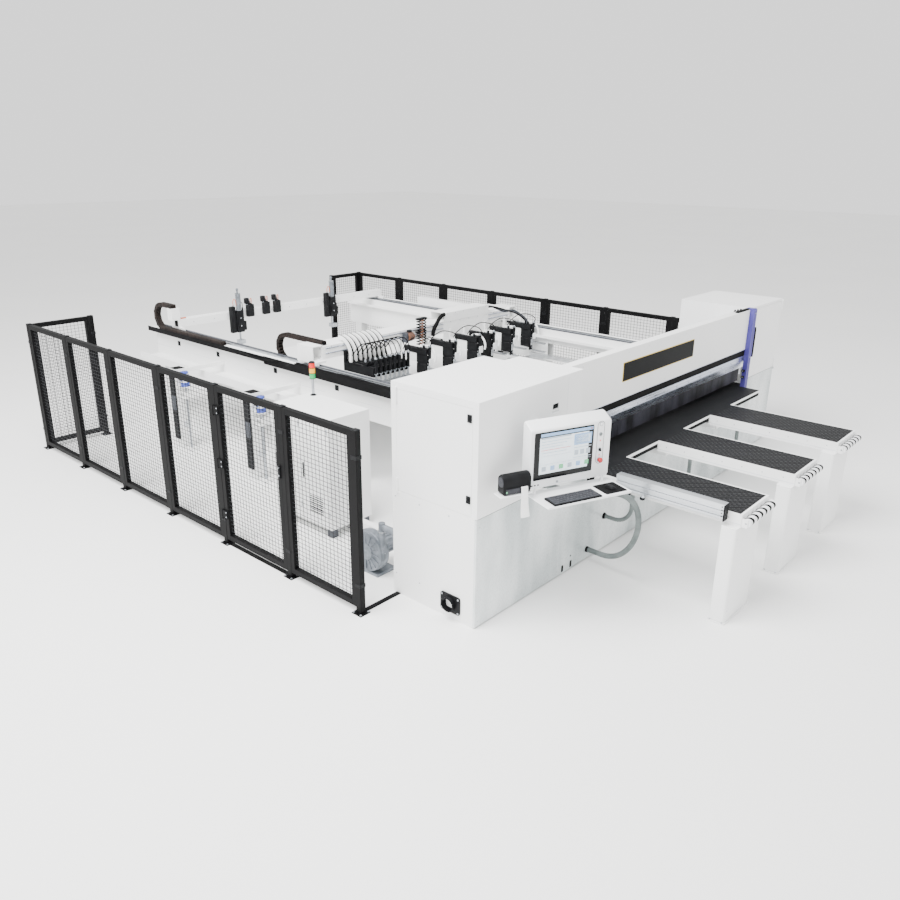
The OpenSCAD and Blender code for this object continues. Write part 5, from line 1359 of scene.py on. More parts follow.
@dataclass
class EnergyChain:
    """An energy chain of open links with cables inside, lying along Y."""
    name: str
    body: str
    left: float
    low: float
    loop_y: float
    low_run: float
    high_run: float
    bend: float
    width: float = 80.0
    tall: float = 52.0
    proud: float = 0.0
    pitch: float = 48.0

    def spot(self, d: float) -> tuple[float, float, float]:
        """The place on the chain's middle line at a distance along it.

        Args:
            d: Distance from the lower run's front end.

        Returns:
            Y, Z and the angle about X, in radians, that the chain has turned.
        """
        r = self.bend + self.tall / 2
        arc = math.pi * r
        z0 = self.low + self.tall / 2
        if d < self.low_run:
            return self.loop_y - self.low_run + d, z0, 0.0
        if d < self.low_run + arc:
            a = (d - self.low_run) / r
            return self.loop_y + r * math.sin(a), z0 + r - r * math.cos(a), a
        return self.loop_y - (d - self.low_run - arc), z0 + 2 * r, math.pi

    def build(self, replaces: Sequence[str] = ()) -> None:
        """Builds the links and the cables in them.

        Args:
            replaces: The CAD nodes that the chain stands for.
        """
        total = self.low_run + math.pi * (self.bend + self.tall / 2) + self.high_run
        count = int(total / self.pitch)
        m = Maker(self.name)
        half, tall, p = self.width / 2 + self.proud, self.tall / 2 + self.proud, self.pitch
        outline = plate((-p * 0.58, -tall), (p * 0.58, tall), 14, 3)
        for i in range(count):
            y, z, a = self.spot((i + 0.5) * total / count)
            m.place = turned((self.left + self.width / 2, y, z), a, "X")
            side = half - (0 if i % 2 else 3)
            for s in (-1, 1):
                near, far = sorted((s * side, s * (side - 5)))
                m.prism(outline, 0, near, far, POLYAMIDE, 1)
                m.lathe((s * side, -p / 2, 0), (s, 0, 0), [(-1, 6), (1.5, 6), (2, 4)], ABS_BLACK, 10)
                low, high = sorted((s * tall, s * (tall - 5)))
                m.box((-half + 4, -9, low), (half - 4, 9, high), POLYAMIDE, 1.5)
        m.place = HOME
        line = [self.spot(total * k / 80) for k in range(81)]
        for dx, r in ((-24, 8.5), (-5, 7.0), (12, 9.5), (29, 6.0)):
            m.tube([(self.left + self.width / 2 + dx, y, z) for y, z, _ in line], r, RUBBER, 8)
        m.piece(self.body, "black_parts", replaces)


@dataclass
class Gantry:
    """Fittings of the clamp gantry and its clamps."""
    front: float = 3860.0
    rear: float = 4160.0
    low: float = 1400.0
    high: float = 1560.0
    left: float = 1660.0
    right: float = 5391.0
    bearing_x: tuple[float, float] = (1690.0, 5341.0)
    bearing_y: float = 4220.0
    bearing_z: float = 1385.3
    hood: tuple[float, float] = (3860.5, 4850.5)
    motor_x: float = 3060.0
    motor_z: float = 1478.0
    motor_fins: int = 18
    coil_x: tuple[float, ...] = (3290.0, 3345.0, 3400.0)
    coil_low: float = 1330.0
    coil_turns: int = 9
    clamp_y: float = 3310.0
    cap_z: float = 1437.0
    collar_z: float = 1247.0
    port_z: float = 1266.0
    plate_z: tuple[float, float] = (1090.0, 1180.0)
    arch: tuple[float, float] = (3960.0, 1400.0)
    arch_r: float = 222.0
    close: tuple[float, ...] = tuple(2010.0 + 80 * i for i in range(8))
    single: tuple[float, ...] = (2970.0, 3480.0, 3990.0, 4300.0, 4770.0, 5250.0)

    def build(self) -> None:
        """Builds the gantry's and the clamps' fittings."""
        self.beam()
        self.clamps()
        self.motor()
        self.jaws()

    def beam(self) -> None:
        """Bolts, bearing rings and slotted rails on the beam, and the hoses into its hood."""
        m = Maker("gantry_fittings")
        for x, way in ((self.left - 8.5, LEFTWARD), (self.right + 8.5, RIGHTWARD)):
            m.bolts((x,), (self.front + 40, self.rear - 40), (self.low + 36, self.high - 30), way, 16)
        ring = [(-6, 26), (-4, 30), (24, 30), (26, 26), (26, 15), (-6, 15)]
        for x in self.bearing_x:
            m.lathe((x, self.bearing_y, self.bearing_z), RIGHTWARD, ring, CAST_DARK, 28, ring=True)
        for x0, x1 in ((1700, self.hood[0] - 8), (self.hood[1] + 8, 5350)):
            for z in (self.high - 34, self.low + 64):
                m.box((x0, self.front - 10, z), (x1, self.front - 0.4, z + 12), ANODISED, 1.5)
        for k in range(18):
            x = 1800 + k * 200
            proud = 16 if self.hood[0] < x < self.hood[1] else 0
            m.lathe((x, self.front - proud, self.high - 12), FORWARD, [(0, 7), (3, 7), (4, 5)], ZINC, 10)
        m.heads([self.hood[0] + 70 + k * 170 for k in range(6)], (self.front - 20,), (1668,), FORWARD,
                [(0, 7), (1.6, 6), (2.2, 3)], ZINC)
        m.tube(smooth_route([(3630, 3850, 1400), (3650, 3836, 1500), (3720, 3830, 1600), (3800, 3838, 1660),
                             (self.hood[0] + 6, 3850, 1668)], 24), 28, RUBBER, 14)
        for k in range(4):
            drop = 5228 + 14 * k
            route = [(4849, 3850 + 22 * k, 1650), (4930, 3800 + 14 * k, 1648), (5040, 3690, 1606 - 9 * k),
                     (5150, 3560 + 10 * k, 1560 + 12 * k), (drop, 3450, 1470), (drop, 3420, 1400)]
            m.tube(smooth_route(route, 30), 13, (RUBBER, CAST_DARK)[k % 2], 10)
        m.piece("gantry", "light_metal")

    def clamps(self) -> None:
        """Caps, fittings, plates and air lines of all clamps."""
        m = Maker("clamp_fittings")
        face, y = self.clamp_y, self.clamp_y - 20.4
        low, top = self.plate_z
        for x in (*self.close, *self.single):
            m.lathe((x, y, self.cap_z), UP, [(0, 20), (3, 22), (12, 22), (14, 17), (22, 9), (26, 8)],
                    TURNED_STEEL, 20)
            m.lathe((x, y, self.collar_z), UP, [(0, 10), (0, 23), (8, 23), (10, 20.2), (10, 10)],
                    TURNED_STEEL, 20, ring=True)
            m.rod((x, y - 18, self.port_z), (x, y - 34, self.port_z), 6, TURNED_STEEL, 10)
            m.box((x - 20, face - 1.5, low), (x + 20, face + 0.5, top), POWDER_GREY, 0.8)
            m.bolts((x,), (face,), (1060, 1192), FORWARD, 12)
            high, sag = (1620, 40) if x in self.close else (1560, 30)
            m.tube(smooth_route([(x + 9, y - 8, 1458), (x + 9, y - 20, 1496), (x + 9, y + 60, high - 20),
                                 (x + 9, y + 260, high - sag), (x + 9, 3720, 1420), (x + 9, 3790, 1330)],
                                26), 6.5, RUBBER, 8)
            if x in self.close:
                self.close_clamp(m, x)
            else:
                self.single_clamp(m, x)
        m.piece("gantry", "black_parts")

    def close_clamp(self, m: Maker, x: float) -> None:
        """The valve and the arched hose of a clamp in the close row.

        Args:
            m: Collects the clamps' fittings.
            x: The clamp's place on X.
        """
        y, r = self.clamp_y, self.arch_r
        mid_y, mid_z = self.arch
        arc = [(x + 26, mid_y - r * math.sin(a), mid_z + r * math.cos(a))
               for a in [math.pi / 2 * k / 12 for k in range(13)]]
        m.tube([*arc, (x + 26, 3734, 1360), (x + 26, 3700, 1330)], 12, RUBBER, 10)
        m.rod((x + 26, mid_y, 1611), (x + 26, mid_y, 1636), 16, TURNED_STEEL, 14)
        m.box((x - 21, y + 120, 1327), (x + 21, y + 210, 1372), ABS_BLACK, 5)
        m.rod((x, y + 165, 1372), (x, y + 165, 1404), 15, TURNED_STEEL, 14)

    def single_clamp(self, m: Maker, x: float) -> None:
        """The white cover and bow and the black bodies of a clamp that stands alone.

        Args:
            m: Collects the clamps' fittings.
            x: The clamp's place on X.
        """
        y = self.clamp_y
        m.box((x - 38, y - 54, 1192), (x + 38, y - 42, 1284), POWDER_WHITE, 5)
        m.box((x - 42, y + 6, 1062), (x + 42, y + 184, 1206.5), ABS_BLACK, 8)
        m.box((x - 34, y - 2, 1207), (x + 34, y + 190, 1326.9), ABS_BLACK, 6)
        m.box((x - 40, y + 8, 1397), (x + 40, y + 175, 1404), ABS_BLACK, 3)
        m.rod((x - 26, y + 60, 1403), (x - 26, y + 60, 1448), 14, ABS_BLACK, 14)
        m.rod((x + 24, y + 110, 1403), (x + 24, y + 110, 1434), 18, TURNED_STEEL, 14)
        m.tube([(x + 38, y + 60 - 150 * math.cos(a), 1290 + 140 * math.sin(a))
                for a in [math.radians(-20 + 9 * k) for k in range(20)]], 14, POWDER_WHITE, 10)
        m.box((x - 34, y + 190, 1327), (x + 34, y + 420, 1400), ABS_BLACK, 8)

    def motor(self) -> None:
        """The gantry's gear motor with fins, and the coiled lines beside it, in front of the beam."""
        m = Maker("gantry_motor")
        x0, y, z, back = self.motor_x, self.front - 62, self.motor_z, self.front - 11
        m.box((x0 - 40, y - 40, 1406), (x0, back, 1540), CAST_DARK, 5)
        m.lathe((x0, y, z), RIGHTWARD, [(0, 52), (10, 58), (96, 58), (108, 52), (112, 38)], COPPER, 30)
        for k in range(self.motor_fins):
            m.place = turned((0, y, z), math.tau * k / self.motor_fins, "X")
            m.box((x0 + 16, -2, 56), (x0 + 90, 2, 64), CAST_DARK, 0.8)
        m.place = HOME
        m.box((x0 + 20, y - 24, 1534), (x0 + 80, y + 24, 1566), ABS_BLACK, 5)
        m.box((3270, y - 12, 1500), (3450, back, 1512), ABS_BLACK, 2)
        turns = [k * math.tau / 12 for k in range(12 * self.coil_turns)]
        for x, finish in zip(self.coil_x, (RUBBER, COPPER, RUBBER)):
            m.tube([(x + 24 * math.cos(a), y + 26 * math.sin(a), self.coil_low + 3.2 * k)
                    for k, a in enumerate(turns)], 8, finish, 8)
        m.box((3260, y - 30, 1674), (3440, y + 34, 1700), ABS_BLACK, 6)
        m.rod((3350, y, 1512), (3350, y, 1676), 10, TURNED_STEEL, 12)
        m.piece("gantry", "motor_grey")

    def jaws(self) -> None:
        """Rubber pads and end stops on the moving jaws."""
        m = Maker("jaw_pads")
        for x in (*self.close, *self.single):
            m.box((x - 20, self.clamp_y - 248, 1137.5), (x + 20, self.clamp_y - 60, 1141.2), RUBBER, 1)
            m.bolt((x, self.clamp_y - 120, 1157), UP, 12)
        m.piece("clamp_jaws", "dark_strip")


@dataclass
class SideFrames:
    """Fittings of the side beams, the lift columns and the lift deck."""
    left: float = 1500.0
    mirror_sum: float = 7051.0
    front: float = 960.0
    rear: float = 7560.0
    top: float = 1330.0
    leg_y: tuple[float, ...] = (1120.0, 3130.0, 7280.0)
    hole_y: tuple[float, ...] = (1500.0, 2400.0, 3400.0, 4600.0, 5900.0, 6900.0)
    lift_x: tuple[float, float] = (800.0, 5681.0)
    lift_y: tuple[float, float] = (4000.0, 5660.0)
    lift_fins: int = 20
    fin_z: tuple[float, float] = (962.0, 1052.0)
    cap_z: float = 1063.0
    flange_z: float = 894.0
    shoe_z: float = 722.0
    deck_z: float = 850.0
    # Place on X and Z, radius and sideways wave of each cable in the outer trough.
    cables: tuple[tuple[float, float, float, float], ...] = (
        (1412, 1334, 10, 5), (1434, 1337, 13, 4), (1458, 1333, 9, 6), (1478, 1335, 11, 3),
        (1424, 1350, 8, 6), (1448, 1353, 9, 5))

    def build(self) -> None:
        """Builds the fittings of both sides."""
        m = Maker("side_beam_fittings")
        self.beam(m, False)
        self.beam(m, True)
        m.piece("machine", "cabinet_white")
        self.trough()
        self.motors()
        self.deck()

    def beam(self, m: Maker, mirrored: bool) -> None:
        """Rail screws, end cap, foot bolts, openings drawn as dark patches of painted shade and trough lips
        of one side beam.

        Args:
            m: Collects the fittings of both beams.
            mirrored: True for the right beam.
        """
        def spot(x: float) -> float:
            """The place on X on this side."""
            return self.mirror_sum - x if mirrored else x

        def slab(a: Point, b: Point, finish: Finish, edge: float = 2.0) -> None:
            """A box given on the left side and mirrored where needed."""
            xs = sorted((spot(a[0]), spot(b[0])))
            m.box((xs[0], a[1], a[2]), (xs[1], b[1], b[2]), finish, edge)

        for k in range(32):
            y = self.front + 100 + k * 205
            m.lathe((spot(self.left + 30), y, self.top + 22), UP, [(-2, 6), (0.1, 6), (0.2, 4)], ZINC, 10)
        slab((self.left + 4, self.rear - 3, 884), (self.left + 156, self.rear + 5, 1326), RUBBER)
        for y in self.leg_y:
            m.bolts((spot(self.left - 12), spot(self.left + 162)), (y - 12, y + 162), (14,), UP, 18)
            slab((self.left - 1.6, y + 30, 600), (self.left + 0.4, y + 120, 760), POWDER_GREY, 0.6)
        for y in self.hole_y[2:] if mirrored else self.hole_y:
            slab((self.left - 1.6, y, 1120), (self.left + 0.4, y + 70, 1190), OPENING_PAINTED_SHADE, 0.6)
            slab((self.left - 1.2, y + 260, 1060), (self.left + 0.4, y + 700, 1064), POWDER_GREY, 0.4)
        slab((self.left - 105, 1152, 1324), (self.left - 100, 7590, 1340), POWDER_WHITE, 1)
        slab((self.left + 272, 1000, 1234), (self.left + 276, 7500, 1262), POWDER_WHITE, 1)

    def trough(self) -> None:
        """The black strips on the outer trough's edge and the cables that lie in it."""
        m = Maker("trough_cables")
        x = self.left - 111
        m.box((x, 1154, 1248), (x + 5.5, 4720, 1352), RUBBER, 2)
        m.box((x, 4721, 1276), (x + 5.5, 7585, 1346), RUBBER, 2)
        m.tube(smooth_route([(1376, 4400, 1350), (1374, 4600, 1322), (1373, 4850, 1300), (1374, 5050, 1318),
                             (1376, 5200, 1340)], 24), 12, RUBBER, 12)
        for x, z, r, wave in self.cables:
            m.tube([(x + wave * math.sin(k * 0.7 + x), 1160 + k * 114.0, z + 1.5 * math.sin(k + x))
                    for k in range(27)], r, RUBBER, 8)
        m.piece("machine", "dark_strip")

    def motors(self) -> None:
        """Fins, caps, cable boxes and base bolts of the lift motors and columns."""
        m = Maker("lift_motor_fins")
        for x, y in product(self.lift_x, self.lift_y):
            for k in range(self.lift_fins):
                m.place = turned((x, y, 0), math.tau * k / self.lift_fins, "Z")
                m.box((45, -1.8, self.fin_z[0]), (55, 1.8, self.fin_z[1]), MOTOR_BLUE, 0.7)
            m.place = HOME
            m.lathe((x, y, self.cap_z), UP, [(0, 46), (2, 52), (20, 52), (27, 44), (30, 20)], MOTOR_BLUE, 28)
            m.lathe((x, y, self.flange_z), UP, [(0, 57), (3, 60), (12, 60), (14, 56), (56, 56), (60, 50)],
                    MOTOR_BLUE, 28)
            m.box((x - 84, y - 26, 984), (x - 50, y + 26, 1034), ABS_BLACK, 4)
            m.bolts((x - 58, x + 58), (y - 58, y + 148), (14,), UP, 18)
            for z in (300, 700):
                m.box((x - 30, y + 88.6, z), (x + 30, y + 90.4, z + 90), POWDER_GREY, 0.6)
            m.box((x - 70, y + 95, 1110), (x + 70, y + 235, 1113), RUBBER, 1)
            m.box((x - 106, y + 112, 150), (x - 80.5, y + 218, 1060), ABS_BLACK, 4)
            m.box((x - 118, y + 96, 560), (x - 106.5, y + 200, 760), CAST_DARK, 4)
        m.piece("machine", "column_violet")

    def deck(self) -> None:
        """Edge trims and slide shoes of the lift deck."""
        m = Maker("deck_fittings")
        for x in (1722.0, 5322.0):
            m.box((x, 3402, self.deck_z), (x + 8, 6698, self.deck_z + 6), POWDER_GREY, 1.5)
        for x, y in product(self.lift_x, self.lift_y):
            m.lathe((x, y, self.shoe_z), UP, [(0, 30), (2, 34), (8, 34), (8, 15.5), (0, 15.5)],
                    TURNED_STEEL, 24, ring=True)
            for a in [math.tau * (k + 0.5) / 4 for k in range(4)]:
                m.bolt((x + 42 * math.cos(a), y + 34 * math.sin(a), self.shoe_z + 8), DOWN, 10)
        m.heads((3525,), [3900 + k * 620 for k in range(5)], (self.deck_z,), UP,
                [(0, 9), (1.5, 8), (2, 4)], ZINC)
        m.piece("lift_deck", "cabinet_white")


@dataclass
class Feeder:
    """Fittings of the feeder at the rear."""
    y: float = 6900.0
    cylinder_y: float = 6854.0
    low: float = 1392.0
    high: float = 1502.0
    ends: tuple[float, float] = (1504.0, 5543.0)
    tall: tuple[float, ...] = (2500.0, 4350.0)
    barrel_z: tuple[float, float] = (1522.0, 1770.0)
    short: tuple[float, ...] = (2720.0, 3020.0, 3230.0)

    def build(self) -> None:
        """Builds the feeder's fittings."""
        m = Maker("feeder_fittings")
        for x in self.tall:
            self.tall_unit(m, x)
        for x in self.short:
            self.short_unit(m, x)
        m.heads([1750 + k * 350 for k in range(11)], (self.y,), (1447,), FORWARD, [(0, 8), (3, 8), (4, 5)],
                ZINC)
        for x in self.ends:
            m.box((x, self.y + 3, self.low + 3), (x + 4, self.y + 107, self.high - 3), RUBBER, 1)
        m.tube(smooth_route([(1660, 6955, 1512), (1560, 6955, 1520), (1520, 6975, 1600), (1470, 6960, 1664),
                             (1452, 6940, 1690)], 24), 9, HOSE_ORANGE, 10)
        m.piece("feeder", "light_metal")

    def tall_unit(self, m: Maker, x: float) -> None:
        """A tall cylinder's collars and tie rods, with the bodies and lines beside it.

        Args:
            m: Collects the feeder's fittings.
            x: The cylinder's place on X.
        """
        y = self.cylinder_y
        low, top = self.barrel_z
        m.lathe((x, y, low), UP, [(0.4, 35), (0.4, 40), (12, 40), (14, 35)], TURNED_STEEL, 24, ring=True)
        m.lathe((x, y, top), UP, [(0, 35), (0, 38), (12, 38), (16, 30), (20, 13), (12, 12.5)],
                TURNED_STEEL, 24, ring=True)
        for dx in (-36, 36):
            m.rod((x + dx, y - 18, low + 2), (x + dx, y - 18, top + 12), 5, TURNED_STEEL, 10)
        m.box((x - 66, y - 42, 1230), (x - 60.2, y + 36, 1480), ABS_BLACK, 2)
        m.box((x - 40, y - 54, 1260), (x + 40, y - 44, 1440), ABS_BLACK, 3)
        m.bolts((x,), (y - 54,), (1290, 1410), FORWARD, 14)
        m.box((x - 150, y - 28, 1190), (x - 66, y + 42, 1590), ABS_BLACK, 8)
        m.box((x + 60.2, y - 34, 1210), (x + 112, y + 36, 1350), ABS_BLACK, 6)
        m.rod((x - 85, y + 6, 1560), (x - 85, y + 6, 1606), 13, TURNED_STEEL, 14)
        m.tube(smooth_route([(x - 85, y + 6, 1606), (x - 92, y - 2, 1660), (x - 70, y - 8, 1700),
                             (x - 48, y - 8, 1672), (x - 36, y - 4, 1600)], 18), 5, HOSE_ORANGE, 8)
        m.rod((x + 70, y - 4, 1400), (x + 70, y - 4, 1560), 12, ABS_BLACK, 14)
        m.box((x + 58, y - 18, 1390), (x + 84, y + 12, 1420), CAST_DARK, 3)
        m.tube(smooth_route([(x + 70, y - 4, 1560), (x + 72, y - 2, 1610), (x + 60, y + 4, 1640),
                             (x + 30, y + 4, 1620), (x + 12, y + 2, 1560)], 16), 5, RUBBER, 8)

    def short_unit(self, m: Maker, x: float) -> None:
        """A short cylinder's black bodies, valves and orange line.

        Args:
            m: Collects the feeder's fittings.
            x: The cylinder's place on X.
        """
        y = self.cylinder_y
        m.box((x - 64, y - 28, 1400), (x + 56, y + 45, 1590), ABS_BLACK, 10)
        m.box((x - 90, y - 18, 1600), (x - 20, y + 42, 1690), ABS_BLACK, 10)
        m.rod((x - 55, y + 12, 1588), (x - 55, y + 12, 1604), 20, TURNED_STEEL, 14)
        m.box((x + 20, y - 14, 1590), (x + 52, y + 36, 1600), POWDER_WHITE, 3)
        m.rod((x - 14, y + 12, 1602), (x - 14, y + 12, 1640), 16, CAST_DARK, 14)
        m.rod((x + 16, y + 26, 1602), (x + 16, y + 26, 1626), 11, COPPER, 14)
        m.tube(smooth_route([(x + 16, y + 26, 1626), (x + 26, y + 32, 1662), (x + 54, y + 46, 1664),
                             (x + 78, y + 76, 1600), (x + 90, y + 96, 1512)], 18), 5.5, HOSE_ORANGE, 8)


@dataclass
class Services:
    """Fittings of the electrical cabinet, its signal tower and the blower."""
    box_x: float = 300.0
    box_y: float = 2180.0
    box_w: float = 560.0
    box_d: float = 920.0
    box_top: float = 1300.0
    door_w: float = 444.0
    lamp_low: float = 1489.5
    lamp_pitch: float = 58.4
    tower_cap: float = 1665.0
    fan_x: float = 115.0
    blower_y: float = 1400.0
    blower_z: float = 230.0
    blower_fins: int = 16
    pipe_y: float = 1235.0

    def build(self) -> None:
        """Builds the fittings behind the left cabinet."""
        m = Maker("service_fittings")
        self.cabinet(m)
        self.blower(m)
        m.piece("machine", "cabinet_white")

    def cabinet(self, m: Maker) -> None:
        """The electrical cabinet's doors with their handles, its vents as dark strips of painted shade and
        its signal tower's rings.

        Args:
            m: Collects the fittings.
        """
        x, y = self.box_x, self.box_y
        for y0 in (y + 12, y + 12 + self.door_w + 6):
            grip_y = y0 + 400
            m.box((x - 5, y0, 135), (x - 0.4, y0 + self.door_w, 1280), POWDER_WHITE, 2)
            m.rod((x - 10, grip_y, 600), (x - 10, grip_y, 760), 8, ABS_BLACK, 14)
            for z in (604, 756):
                m.rod((x - 4, grip_y, z), (x - 12, grip_y, z), 7, ABS_BLACK, 12)
            for z in (250, 1150):
                m.rod((x - 8, y0 + 6, z), (x - 8, y0 + 6, z + 60), 6, ZINC, 12)
        for k in range(8):
            m.box((x - 6.5, y + 120, 240 + 24 * k), (x - 4.6, y + 330, 250 + 24 * k), OPENING_PAINTED_SHADE, 0.5)
        m.box((x + 60, y - 4, 200), (x + self.box_w - 60, y - 0.4, 1200), POWDER_WHITE, 1.5)
        tower = (x + 495, y + self.box_d - 100)
        m.lathe((*tower, self.box_top), UP, [(0, 34), (6, 34), (14, 20), (22, 15)], ABS_BLACK, 24)
        for k in range(4):
            m.lathe((*tower, self.lamp_low + k * self.lamp_pitch), UP,
                    [(-2, 31), (-2, 34), (3, 34), (3, 31)], ABS_BLACK, 28, ring=True)
        m.lathe((*tower, self.tower_cap), UP, [(0, 32), (6, 31), (13, 24), (16, 10)], ABS_BLACK, 28)

    def blower(self, m: Maker) -> None:
        """The ring blower's fins, caps and rim, its terminal box and the collars of its pipe.

        Args:
            m: Collects the fittings.
        """
        y, z = self.blower_y, self.blower_z
        for k in range(self.blower_fins):
            m.place = turned((0, y, z), math.tau * k / self.blower_fins, "X")
            m.box((50, -3, 84), (60.5, 3, 182), CAST_GREY, 2)
            m.box((178, -2.5, 93), (356, 2.5, 103), CAST_GREY, 1)
        m.place = HOME
        m.lathe((60, y, z), LEFTWARD, [(0, 84), (6, 84), (12, 70), (14, 24), (20, 20)], CAST_GREY, 36)
        m.lathe((self.fan_x, y, z), RIGHTWARD, [(-30, 198), (-22, 206), (22, 206), (30, 198)],
                CAST_GREY, 48, ring=True)
        m.lathe((360, y, z), RIGHTWARD, [(0, 94), (10, 98), (50, 98), (58, 86), (58, 30)], ABS_BLACK, 32)
        m.box((200, y - 40, z + 92), (280, y + 40, z + 132), ABS_BLACK, 6)
        for low in (250, 470):
            m.lathe((self.fan_x, self.pipe_y, low), UP, [(0, 33), (0, 40), (10, 40), (10, 33)],
                    TURNED_STEEL, 24, ring=True)


@dataclass
class GuardFences:
    """Posts, framed panels and welded mesh, and the gate."""
    height: float = 1697.0
    post: float = 60.0
    stile: float = 56.0
    gap: float = 60.0
    wire: float = 4.4
    pitch_along: float = 50.0
    pitch_up: float = 42.0
    left_x: float = -467.0
    right_x: float = 5863.0
    left_posts: tuple[float, ...] = (903.0, 1867.0, 2919.0, 3971.0, 5023.0, 6075.0, 7127.0)
    right_posts: tuple[float, ...] = tuple(1360.0 + 1078 * i for i in range(7))
    side_panel: tuple[float, float] = (1130.4, 1334.6)
    gate_panel: tuple[float, float] = (1898.0, 2888.0)
    hinge: tuple[float, float] = (-504.0, 2919.0)
    hinge_r: float = 9.0
    hinge_z: tuple[float, ...] = (300.0, 850.0, 1400.0)

    def build(self) -> None:
        """Builds the fixed fences and the gate."""
        steel = Maker("fence_frames")
        mesh = Maker("fence_mesh")
        self.run(steel, mesh, self.left_x, 0.0, 0.0, self.left_posts, 1)
        self.run(steel, mesh, self.right_x, 0.0, 0.0, self.right_posts, -1)
        self.run(steel, mesh, self.left_x, self.left_posts[-1], -90.0, (0.0, 800.0), -1, 1)
        self.run(steel, mesh, self.right_x, self.right_posts[-1], 90.0, (0.0, 670.0), -1, 1)
        for maker in (steel, mesh):
            maker.place = Matrix.Translation((self.right_x, 0, 0))
        self.panel(steel, mesh, *self.side_panel)
        steel.place = HOME
        to_cabinet = ((-406.6, 878, 0), (-0.4, 928, 10))
        sill = ((-492, 1927.4, 0), (-442, 2858.6, 10))
        for low, high in (to_cabinet, sill):
            steel.box(low, high, FENCE_BLACK, 2)
        for z in self.hinge_z:
            steel.box((-514, 2907, z - 12), (-492.4, 2931, z - 0.4), FENCE_BLACK, 2)
            steel.rod((*self.hinge, z - 12), (*self.hinge, z - 0.5), self.hinge_r, FENCE_BLACK, 20)
        steel.piece("machine", "fence_black", ["guard_fences"])
        mesh.piece("machine", "fence_black")
        self.gate()

    def run(self, steel: Maker, mesh: Maker, x: float, y: float, turn: float, posts: Sequence[float],
            gate: int, first: int = 0) -> None:
        """A straight run of posts and panels.

        Args:
            steel: Collects posts and frames.
            mesh: Collects the wires.
            x: The run's place on X.
            y: The run's place on Y.
            turn: The run's turn about Z in degrees, from along Y.
            posts: Where the posts stand along the run.
            gate: The panel that is left out, or -1.
            first: The first post to build.
        """
        steel.place = mesh.place = turned((x, y, 0), math.radians(turn), "Z")
        for p in posts[first:]:
            self.stand(steel, p)
        for i in range(len(posts) - 1):
            if i != gate:
                self.panel(steel, mesh, posts[i] + 25.4, posts[i + 1] - 25.4)

    def stand(self, m: Maker, y: float) -> None:
        """A post with its cap, foot plate, anchors and panel clips.

        Args:
            m: Collects posts and frames.
            y: The post's place along the run.
        """
        h = self.post / 2
        m.box((-h, y - h, 10.4), (h, y + h, self.height - 5), FENCE_BLACK, 3)
        m.box((-h - 1, y - h - 1, self.height - 8), (h + 1, y + h + 1, self.height - 0.2), ABS_BLACK, 3)
        m.box((-60, y - 60, 0), (60, y + 60, 10), FENCE_BLACK, 2)
        m.bolts((-45, 45), (y - 45, y + 45), (10,), UP, 15)
        for z in (260, 1440):
            m.box((-h - 3, y - h - 5, z), (h + 3, y + h + 5, z + 34), ABS_BLACK, 2)

    def panel(self, steel: Maker, mesh: Maker, y0: float, y1: float) -> None:
        """One framed panel of welded wires.

        Args:
            steel: Collects posts and frames.
            mesh: Collects the wires.
            y0: Where the panel starts along the run.
            y1: Where it ends.
        """
        z0, z1, h, s = self.gap, self.height - 8, self.stile / 2, self.stile
        for low, high in ((y0, y0 + s), (y1 - s, y1)):
            steel.box((-h, low, z0), (h, high, z1), FENCE_BLACK, 2)
        for low, high in ((z0, z0 + s), (z1 - s, z1)):
            steel.box((-h, y0 + s - 1, low), (h, y1 - s + 1, high), FENCE_BLACK, 2)
        self.wires(mesh, (y0 + s, y1 - s), (z0 + s, z1 - s))

    def wires(self, m: Maker, along: tuple[float, float], up: tuple[float, float]) -> None:
        """The upright and level wires of a panel, welded into its frame.

        Args:
            m: Collects the wires.
            along: The frame's inner edges along the run.
            up: The frame's inner edges on Z.
        """
        w, weld = self.wire / 2, 4
        (y0, y1), (z0, z1) = along, up
        uprights = max(2, round((y1 - y0) / self.pitch_along))
        levels = round((z1 - z0) / self.pitch_up)
        for k in range(1, uprights):
            y = y0 + (y1 - y0) * k / uprights
            m.box((-w, y - w, z0 - weld), (w, y + w, z1 + weld), WIRE, 0.9)
        for k in range(1, levels):
            z = z0 + (z1 - z0) * k / levels
            m.box((-3 * w, y0 - weld, z - w), (-w, y1 + weld, z + w), WIRE, 0.9)

    def gate(self) -> None:
        """The gate with its hinge barrels, latch and pull, which swings on the second post."""
        place = Matrix.Translation((self.left_x, 0, 0))
        m, wires = Maker("gate_frame", place), Maker("gate_mesh", place)
        self.panel(m, wires, *self.gate_panel)
        m.place = HOME
        for z in self.hinge_z:
            m.rod((*self.hinge, z), (*self.hinge, z + 90), self.hinge_r, FENCE_BLACK, 24)
            m.box((-508, 2838, z + 1), (-500, 2918, z + 89), FENCE_BLACK, 2)
            m.box((-500, 2838, z + 1), (-482, 2868, z + 89), FENCE_BLACK, 2)
            m.bolts((-508,), (2852,), (z + 20, z + 70), LEFTWARD, 10)
        m.box((-512, 1901, 1000), (-482, 1925, 1130), ABS_BLACK, 4)
        m.rod((-506, 1904, 1110), (-524, 1904, 1110), 6, TURNED_STEEL, 14)
        m.lathe((-512, 1913, 1030), LEFTWARD, [(0, 9), (3, 9), (4, 6)], TURNED_STEEL, 18)
        m.piece("gate", "fence_black", ["fence_gate"])
        wires.piece("gate", "fence_black")


@dataclass(frozen=True)
class Blade:
    """The sizes of one blade between its flanges."""
    piece: str
    body: str
    x: float
    z: float
    radius: float
    teeth: int
    flange_r: float
    flange_half: float
    half: float = 2.0


